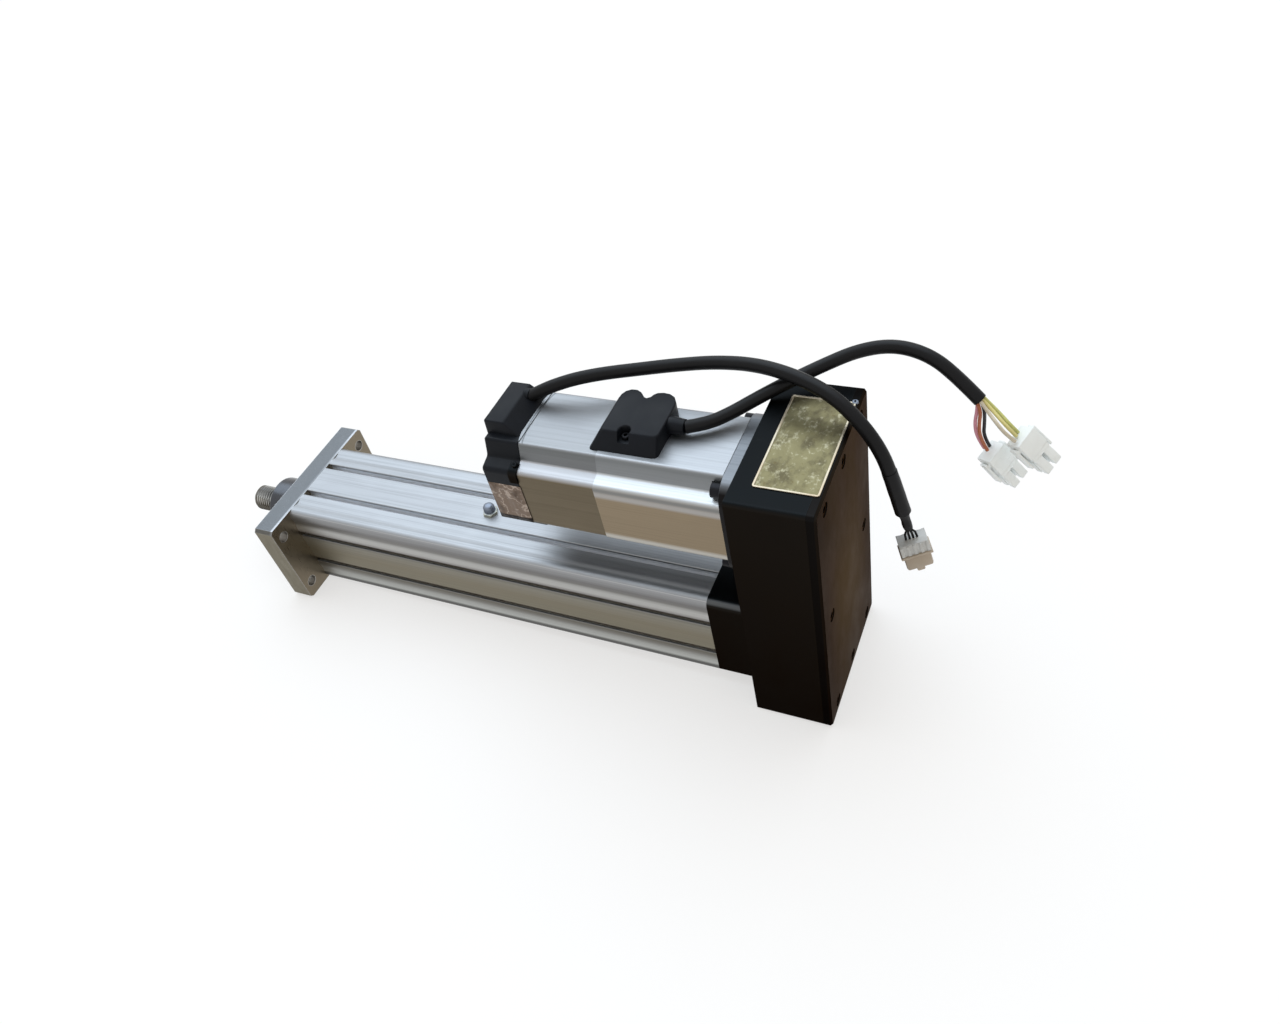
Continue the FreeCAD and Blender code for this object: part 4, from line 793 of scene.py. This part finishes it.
def rod_end():
    """The rod's threaded end, with a plain neck and a chamfered tip."""
    bm = bmesh.new()
    sides, steps = 72, 146
    rings = []
    for number in range(steps + 1):
        x = STUD_START + (STUD_END - STUD_START) * number / steps
        ring = []
        for step in range(sides):
            radius = thread_radius(x, step / sides)
            angle = math.tau * step / sides
            ring.append(bm.verts.new((x, radius * math.cos(angle), radius * math.sin(angle))))
        rings.append(ring)
    loft(bm, rings)
    piece("rod_thread", bm, "stud_steel", "rod_stud", body="rod", angle=50)


rod_end()


# Bare name plate and foil label

PLATE_MIDDLE, PLATE_HALF, PLATE_CORNER = -451.5, (20, 41), 1.8
PLATE_STEPS = ((0, 0), (0, 0.6), (0.15, 0.75), (1.2, 0.75), (1.45, 0.5))
PLATE_GAP = 0.02
FOIL_LOW, FOIL_SIZE, FOIL_GAP = (-265.6, 90), (25.6, 34.5), 0.08
FOIL_SWELL, FOLD_DEPTH, FLAT_RIM = 0.40, 0.42, 4


def plate_ring(bm, inset, height):
    """One rounded outline of the name plate, inset from its edge."""
    corner = PLATE_CORNER - inset
    half_x, half_y = (half - inset for half in PLATE_HALF)
    ring = []
    for side_x, side_y, first in ((1, 1, 0), (-1, 1, 90), (-1, -1, 180), (1, -1, 270)):
        for part in range(5):
            angle = math.radians(first + 90 * part / 4)
            x = side_x * (half_x - corner) + corner * math.cos(angle)
            y = side_y * (half_y - corner) + corner * math.sin(angle)
            ring.append(bm.verts.new((PLATE_MIDDLE + x, y, CASE_TOP + PLATE_GAP + height)))
    return ring


def name_plate():
    """A thin plate with a raised, worn rim round its bare face."""
    bm = bmesh.new()
    rings = [plate_ring(bm, inset, height) for inset, height in PLATE_STEPS]
    rim = [bm.faces.new(rings[0])]
    for one, other in zip(rings, rings[1:]):
        rim += bridge(bm, one, other)
    for face in rim:
        face.material_index = 1
    bm.faces.new(rings[-1])
    plate = piece("name_plate", bm, "gold_plate")
    plate.data.materials.append(FINISHES["gold_rim"].material)


def foil_label():
    """A creased foil on the cap's near side, flat along its rim."""
    bm = bmesh.new()
    across, tall = 36, 48
    rows = []
    for row in range(tall + 1):
        line = []
        for column in range(across + 1):
            x = FOIL_LOW[0] + FOIL_SIZE[0] * column / across
            z = FOIL_LOW[1] + FOIL_SIZE[1] * row / tall
            rim = min(column, across - column, row, tall - row) / FLAT_RIM
            fold = noise.noise(Vector((x * 0.16, z * 0.05, 3.7)))
            fold += 0.5 * noise.noise(Vector((x * 0.4, z * 0.25, 9.1)))
            proud = FOIL_GAP + min(1, rim) * (FOIL_SWELL + FOLD_DEPTH * fold)
            line.append(bm.verts.new((x, MOTOR_SIDE + proud, z)))
        rows.append(line)
    for low, high in zip(rows, rows[1:]):
        for column in range(across):
            bm.faces.new((low[column], low[column + 1], high[column + 1], high[column]))
    piece("motor_label", bm, "label_foil", angle=80)


name_plate()
foil_label()


# Terminal box

LOBES = [
    (-363.2, -8), (-363, -14), (-362, -18.5), (-359.5, -22.5), (-355.5, -24.8), (-351, -25.2),
    (-347, -24.2), (-345, -22.3), (-343.6, -19.5), (-341.8, -18.2), (-339.8, -18.8), (-338, -20.8),
    (-336, -23), (-332.5, -24.8), (-328.5, -24.6), (-325.4, -22.4), (-323.8, -19), (-323.4, -15),
]
NEAR_LEFT = [(-323.6, 13.5), (-324.5, 15.4), (-326.5, 16), (-335.6, 16)]
NEAR_RIGHT = [(-343.6, 16), (-359.5, 16), (-361.8, 15.2), (-363, 13)]
BOX_ROOM = [(-358, -13), (-327, -13), (-327, 7), (-358, 7)]
BOX_FOOT, BOX_HEIGHT, ROOM_HEIGHT = 152.3, 13.2, 10
FRONT_START, DRAFT_FRONT = -327, 8.5
NEAR_START, DRAFT_NEAR = 12, 6.5
POCKET, POCKET_RADIUS = (-339.6, 13.6), 4
BOX_SCREWS = ((*POCKET, 158.8), (-341.8, -21.6, 152.5))


def box_place(place, share):
    """A point of the box's outline, drawn out towards its foot at its near side and its front."""
    x, y = place
    out_x = DRAFT_FRONT * (1 - share) if x > FRONT_START else 0
    out_y = DRAFT_NEAR * (1 - share) if y > NEAR_START else 0
    return Vector((x + out_x, y + out_y, BOX_FOOT + BOX_HEIGHT * share))


def box_pocket(bm, share):
    """The half round of the screw pocket at one height."""
    ring = []
    for step in range(7):
        angle = math.pi * step / 6
        x = POCKET[0] + POCKET_RADIUS * math.cos(angle)
        y = POCKET[1] - POCKET_RADIUS * math.sin(angle)
        ring.append(bm.verts.new((x, y, BOX_FOOT + BOX_HEIGHT * share)))
    return ring


def terminal_box():
    """Box with rounded lobes at its far side, a screw pocket in its near side and a hollow below."""
    bm = bmesh.new()
    whole = LOBES + NEAR_LEFT + NEAR_RIGHT
    start = len(LOBES + NEAR_LEFT)
    foot, middle, rim = [[bm.verts.new(box_place(place, share)) for place in whole] for share in (0, 0.5, 1)]
    floor, mouth = box_pocket(bm, 0.5), box_pocket(bm, 1)
    low = middle[:start] + floor + middle[start:]
    high = rim[:start] + mouth + rim[start:]
    bridge(bm, foot, middle)
    bridge(bm, low, high)
    bm.faces.new([middle[start - 1], *floor, middle[start]])
    bm.faces.new(high)
    sill, ceiling = [[bm.verts.new((x, y, BOX_FOOT + up)) for x, y in BOX_ROOM] for up in (0, ROOM_HEIGHT)]
    bridge(bm, sill, ceiling)
    bm.faces.new(ceiling)
    underside = [bm.edges.get(pair) for ring in (foot, sill) for pair in pairs_round(ring)]
    bmesh.ops.triangle_fill(bm, edges=underside, use_beauty=True)
    top = [bm.edges.get(pair) for pair in pairs_round(high)]
    soften(bm, top)
    piece("terminal_box", bm, "black_plastic", "power_box")


def terminal_screws():
    """The box's two cap screws, each with a socket."""
    bm = bmesh.new()
    for x, y, z in BOX_SCREWS:
        line = [Vector((x, y, z + up)) for up in (-0.2, 2.0, 2.4, 2.4, 1.2)]
        tube(bm, line, [2.7, 2.7, 2.3, 1.3, 1.2])
    piece("terminal_screws", bm, "black_screws", "power_box_screws")


terminal_box()
terminal_screws()


# Brake lip, case screw, cable hood and cap clips

LIP_LOW, LIP_HIGH, LIP_ROOT, LIP_STEPS = 151.6, 152.75, BRAKE_END - 0.4, 24
CASE_SCREW = (-470.6, -41.3)
HOOD_REAR, HOOD_FOOT, HOOD_CROWN = -238.3, (-264.2, 21.4, 151.6), (-253.0, 20.5, 162.4)
CLIP_ENDS, CLIP_FOOT, CLIP_REACH = (-265.6, -259.3), 128.0, 5.2
CLIP_LIFTS = (-0.5, 0.7)
SHOULDER, SHOULDER_CENTRE, SHOULDER_RADIUS = Vector((37.25, 137.61)), Vector((36, 133.8)), 4
SHOULDER_ANGLE = math.radians(71.8)
LEDGE_SLOPE, LEDGE_OVER = Vector((0.950, -0.313)), Vector((0.313, 0.950))
CLIP_SCREW = (-263.0, 34.4, 138.55)


def brake_lip():
    """The bowed edge of the brake's top, which laps over the cap."""
    bm = bmesh.new()
    outline = [(LIP_ROOT, LIP_HALF), (LIP_ROOT, -LIP_HALF)]
    for step in range(1, LIP_STEPS):
        share = 2 * step / LIP_STEPS - 1
        outline.append((BRAKE_END + BRAKE_BOW * (1 - share ** 2), LIP_HALF * share))
    loft(bm, [[bm.verts.new((x, y, z)) for x, y in outline] for z in (LIP_LOW, LIP_HIGH)])
    piece("brake_lip", bm, "brake_aluminium")


def case_screw():
    """Pan-head screw in the top edge of the case's cover."""
    bm = bmesh.new()
    line = [Vector((*CASE_SCREW, CASE_TOP + up)) for up in (-0.2, 0.7, 1.1, 1.1, 0.7)]
    tube(bm, line, [2.1, 2.0, 1.5, 0.8, 0.7])
    piece("case_screw", bm, "nipple_steel")


def cable_hood():
    """Moulded hood over the cap's cable exit: drafted sides and a front that slopes to the joint."""
    bm = bmesh.new()
    rings = []
    for front, half, z in (HOOD_FOOT, HOOD_CROWN):
        corners = [(HOOD_REAR, half), (HOOD_REAR, -half), (front, -half), (front, half)]
        rings.append([bm.verts.new((x, y, z)) for x, y in corners])
    loft(bm, rings)
    seen = [edge for edge in bm.edges if any(vert in rings[1] for vert in edge.verts)]
    soften(bm, seen)
    piece("cable_hood", bm, "black_plastic")


def clip_line(lift):
    """The clip's section over the cap's shoulder, lifted off it by a distance."""
    line = [SHOULDER - LEDGE_SLOPE * CLIP_REACH + LEDGE_OVER * lift, SHOULDER + LEDGE_OVER * lift]
    for step in range(1, 7):
        angle = SHOULDER_ANGLE * (1 - step / 6)
        line.append(SHOULDER_CENTRE + (SHOULDER_RADIUS + lift) * Vector((math.cos(angle), math.sin(angle))))
    line.append(Vector((MOTOR_SIDE + lift, CLIP_FOOT)))
    return line


def cap_clips():
    """Black clip with a screw over the cap's shoulder at each side, next to the joint with the brake."""
    bm = bmesh.new()
    inner, outer = (clip_line(lift) for lift in CLIP_LIFTS)
    outline = outer + inner[::-1]
    x, y, z = CLIP_SCREW
    for side in (1, -1):
        loft(bm, [[bm.verts.new((end, side * place.x, place.y)) for place in outline] for end in CLIP_ENDS])
        foot = Vector((x, side * y, z))
        lean = Vector((0, side * LEDGE_OVER.x, LEDGE_OVER.y))
        tube(bm, [foot + lean * up for up in (0, 1.9, 2.3, 2.3, 1.2)], [2.2, 2.2, 1.8, 1.1, 1.0])
    piece("cap_clips", bm, "black_case")


brake_lip()
case_screw()
cable_hood()
cap_clips()


# Grease nipple

HEX = 6.2
NIPPLE_PROFILE = [
    (41.0, 3.0), (41.0, HEX), (42.8, HEX), (43.2, 5.4), (43.4, 4.6), (47.4, 4.4), (48.8, 3.6),
    (49.5, 2.2), (49.7, 0.9),
]


def grease_nipple():
    """Nipple with a hexagon foot and a round head."""
    bm = bmesh.new()
    low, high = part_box("grease_plug")
    middle = (low + high) / MM / 2
    sides = 24
    rings = []
    for height, radius in [(low.z / MM, 3.0), *NIPPLE_PROFILE]:
        ring = []
        for step in range(sides):
            angle = math.tau * step / sides
            reach = radius
            if radius == HEX:
                reach *= math.cos(math.pi / 6) / math.cos(angle % (math.pi / 3) - math.pi / 6)
            x = middle.x + reach * math.cos(angle)
            y = middle.y + reach * math.sin(angle)
            ring.append(bm.verts.new((x, y, height)))
        rings.append(ring)
    loft(bm, rings)
    piece("grease_nipple", bm, "nipple_steel", "grease_plug")


grease_nipple()


# Plugs and sleeve

POWER_PLUG = ((-549, -58, 121), (-18.1, -4.3, -26))
BRAKE_PLUG = ((-565, -54, 140), (-18.5, -2.8, -21.9))
CONTACTS = [(x, y) for x in (-3.85, 3.85) for y in (-3.1, 3.1)]
ENCODER_END = Vector(ENCODER_ROUTE[-1])
ENCODER_WAY = (ENCODER_END - Vector(ENCODER_ROUTE[-2])).normalized()
ENCODER_ACROSS = Vector((-0.90, -0.43, 0))
NECK_LENGTH = 25.5
PLUG_RIBS = (-8.2, -4.1, 0, 4.1, 8.2)
SLEEVE_LENGTH, SLEEVE_RADIUS, SLEEVE_SWELL = 36, 4.75, 0.3
BOUND_CORES = [(0.2, 4.4), (2.5, 3.5), (5, 3.1), (8, 2.9), (11, 3.1), (14, 2.9), (16.5, 2.6), (17.5, 1.6)]
CORE_PLACES, CORE_RADIUS = (-3.6, -1.2, 1.2, 3.6), 0.75


def nylon_plug(name, node, back, way):
    """Four-way nylon plug: stepped shell, four contact sleeves, each with a dark plate on its end as painted
    shade for its bore, and a latch at each side.
    """
    way = Vector(way).normalized()
    place = facing(Vector(back), way, Vector(FORWARD).cross(way))
    bm = bmesh.new()
    block(bm, (-7.5, -6, -0.4), (7.5, 6, 13.5), 0.9, place)
    block(bm, (-7.0, -5.5, 13.2), (7.0, 5.5, 16.5), 0.5, place)
    for x, y in CONTACTS:
        block(bm, (x - 2.75, y - 2.2, 16.2), (x + 2.75, y + 2.2, 28.9), 0.6, place)
    for side in (-1, 1):
        latch, web = side * 9.1, side * 8.0
        block(bm, (latch - 0.8, -2.6, 2.0), (latch + 0.8, 2.6, 19.5), 0.4, place)
        block(bm, (web - 1.0, -2.6, 3.2), (web + 1.0, 2.6, 6.0), 0.2, place)
    shell = piece(name, bm, "plug_white", node)
    # Thin dark plates on the sleeve ends: painted shade in each bore
    bore_shade = bmesh.new()
    for x, y in CONTACTS:
        block(bore_shade, (x - 1.4, y - 1.2, 28.6), (x + 1.4, y + 1.2, 29.0), 0.1, place)
    return [shell, piece(name + "_bores", bore_shade, "contact_dark")]


def signal_plug():
    """Clear-grey plug with a beige front, a collar and a latch nub."""
    place = facing(ENCODER_END + ENCODER_WAY * NECK_LENGTH, ENCODER_WAY, ENCODER_ACROSS)
    bm = bmesh.new()
    block(bm, (-9.3, -5.6, 0), (9.3, 5.6, 10.0), 0.6, place)
    for rib in PLUG_RIBS:
        block(bm, (rib - 1.1, -6.2, 0.6), (rib + 1.1, 6.2, 9.4), 0.25, place)
    shell = piece("encoder_shell", bm, "plug_grey", "encoder_plug")
    front = bmesh.new()
    block(front, (-10.2, -6.7, 9.6), (10.2, 6.7, 11.6), 0.5, place)
    block(front, (-8.6, -6.0, 11.4), (8.6, 6.0, 23.5), 1.6, place)
    block(front, (-2.6, -3.2, 23.1), (2.6, 3.2, 29.0), 0.9, place)
    nose = piece("encoder_nose", front, "plug_beige", "encoder_plug")
    return [shell, nose]


def rippled(name, line, radii, ripple, node=None):
    """A black tube with an uneven skin, as shrunk or wound tape has."""
    bm = bmesh.new()

    def wave(number, angle):
        return ripple * noise.noise(Vector((number * 0.9, math.cos(angle) * 1.6, math.sin(angle) * 1.6)))

    tube(bm, line, radii, wave=wave)
    return piece(name, bm, "cable_black", node, angle=60)


def shrink_sleeve(curve):
    """Heat-shrink over the signal cable's end, the bound cores below it and the bare cores into the plug."""
    points = line_of(curve)
    shrunk = [point for point in points if (point - points[-1]).length < SLEEVE_LENGTH]
    last = len(shrunk) - 1
    swell = [SLEEVE_RADIUS + SLEEVE_SWELL * number / last for number in range(last + 1)]
    sleeve = rippled("shrink_sleeve", shrunk, swell, 0.14)
    line = [ENCODER_END + ENCODER_WAY * away for away, _ in BOUND_CORES]
    bound = rippled("bound_cores", line, [radius for _, radius in BOUND_CORES], 0.3, "encoder_sleeve")
    place = facing(ENCODER_END, ENCODER_WAY, ENCODER_ACROSS)
    cores = bmesh.new()
    for out in CORE_PLACES:
        bends = [(0.3 * out, 15.5), (0.5 * out, 18), (0.9 * out, 20.5), (out, NECK_LENGTH)]
        tube(cores, [place @ Vector((x, 0, z)) for x, z in bends], [CORE_RADIUS] * 4, sides=12)
    bare = piece("bare_cores", cores, "cable_black", angle=60)
    return [sleeve, bound, bare]


power_plug = nylon_plug("power_connector", "power_plug", *POWER_PLUG)
brake_plug = nylon_plug("brake_connector", "brake_plug", *BRAKE_PLUG)
encoder_plug = signal_plug()
sleeves = shrink_sleeve(encoder_cable)

cord_length(power_cable)
cord_length(encoder_cable)
for name, wire in wires.items():
    cord_length(wire)


# Finishes and rounded edges on the solids

EDGE_WIDTHS = {
    "front_flange": 0.5, "belt_housing": 0.6, "housing_cover": 0.6, "rear_block": 0.5,
    "motor_flange": 0.4, "stator_housing": 0.3, "brake_housing": 0.3, "encoder_cap": 0.9,
    "piston_rod": 0.4,
}
OWN_FINISH = {"housing_cover": "cover_black", "cover_screws": "cover_black", "motor_flange": "motor_flange"}


def round_edges(obj, width):
    """Shows a solid with rounded edges; its own mesh stays as it is."""
    weld = obj.modifiers.new("weld", "WELD")
    weld.merge_threshold = 0.01 * MM
    merge = obj.modifiers.new("merge", "DECIMATE")
    merge.decimate_type = "DISSOLVE"
    merge.angle_limit = math.radians(0.3)
    bevel = obj.modifiers.new("bevel", "BEVEL")
    bevel.width = width * MM
    bevel.segments = 2
    bevel.limit_method = "ANGLE"
    bevel.angle_limit = math.radians(42)
    bevel.harden_normals = True
    normals = obj.modifiers.new("normals", "WEIGHTED_NORMAL")
    normals.keep_sharp = True


for subpart in frame["record"]["subparts"]:
    name = subpart["node"]
    solid = frame["nodes"][name]
    finish = FINISHES[OWN_FINISH.get(name, subpart["material_slot"])]
    solid.data.materials.clear()
    solid.data.materials.append(finish.material)
    if name in EDGE_WIDTHS:
        round_edges(solid, EDGE_WIDTHS[name])


# Floor, light and background, in metres

FLOOR_HEIGHT, FLOOR_SLOPE, FLOOR_HALF = -0.041, 11 / 419, 8
FLOOR_WHITE = 0.6
LIGHT_WAY, LIGHT_COLOUR = (0.28, -0.36, 0.89), (0.74, 0.87, 1.0)
SKY_COLOUR, SKY_STRENGTH = (1.0, 0.90, 0.78, 1), 0.6
WHITE = (1, 1, 1, 1)


def seen_directly(tree):
    """1 where the camera, a reflection or a clear piece looks straight at the background."""
    path = tree.nodes.new("ShaderNodeLightPath")
    seen = path.outputs["Is Camera Ray"]
    for ray in ("Is Glossy Ray", "Is Transmission Ray"):
        either = tree.nodes.new("ShaderNodeMath")
        either.operation = "MAXIMUM"
        tree.links.new(seen, either.inputs[0])
        tree.links.new(path.outputs[ray], either.inputs[1])
        seen = either.outputs[0]
    return seen


def make_floor():
    """A pale paper floor under the flange and the case's foot."""
    mesh = bpy.data.meshes.new("floor")
    low, high = -FLOOR_HALF, FLOOR_HALF
    outline = ((low, low), (high, low), (high, high), (low, high))
    corners = [(x, y, FLOOR_HEIGHT + FLOOR_SLOPE * x) for x, y in outline]
    mesh.from_pydata(corners, [], [(0, 1, 2, 3)])
    floor = link(bpy.data.objects.new("floor", mesh))
    paper = Finish("floor_paper", (0.95, 0.95, 0.95), roughness=1, specular=0)
    fibre = paper.noise((9, 9, 9), detail=2)
    paper.paint(paper.spread(fibre, 0.4, 0.7, 0, 0.5), (0.94, 0.94, 0.94))
    tree = paper.tree
    white = paper.node("Emission", {"Color": WHITE, "Strength": 1})
    mixer = paper.node("MixShader", {0: paper.times(seen_directly(tree), FLOOR_WHITE)})
    tree.links.new(paper.shader.outputs[0], mixer.inputs[1])
    tree.links.new(white.outputs[0], mixer.inputs[2])
    tree.links.new(mixer.outputs[0], tree.nodes["Material Output"].inputs["Surface"])
    mesh.materials.append(paper.material)


def make_light():
    """One wide, cool light from above."""
    data = bpy.data.lights.new("key", "SUN")
    data.energy = 2.35
    data.angle = math.radians(70)
    data.color = LIGHT_COLOUR
    key = link(bpy.data.objects.new("key", data))
    key.rotation_mode = "QUATERNION"
    key.rotation_quaternion = Vector(LIGHT_WAY).to_track_quat("Z", "Y")


def make_world():
    """A warm, dim sky that looks white where it is seen directly."""
    world = bpy.data.worlds.new("world")
    scene.world = world
    world.use_nodes = True
    tree = world.node_tree
    tree.nodes.clear()
    mixer = tree.nodes.new("ShaderNodeMixShader")
    tree.links.new(seen_directly(tree), mixer.inputs[0])
    for place, colour, strength in ((1, SKY_COLOUR, SKY_STRENGTH), (2, WHITE, 1)):
        sky = tree.nodes.new("ShaderNodeBackground")
        sky.inputs["Color"].default_value = colour
        sky.inputs["Strength"].default_value = strength
        tree.links.new(sky.outputs[0], mixer.inputs[place])
    output = tree.nodes.new("ShaderNodeOutputWorld")
    tree.links.new(mixer.outputs[0], output.inputs[0])


make_floor()
make_light()
make_world()
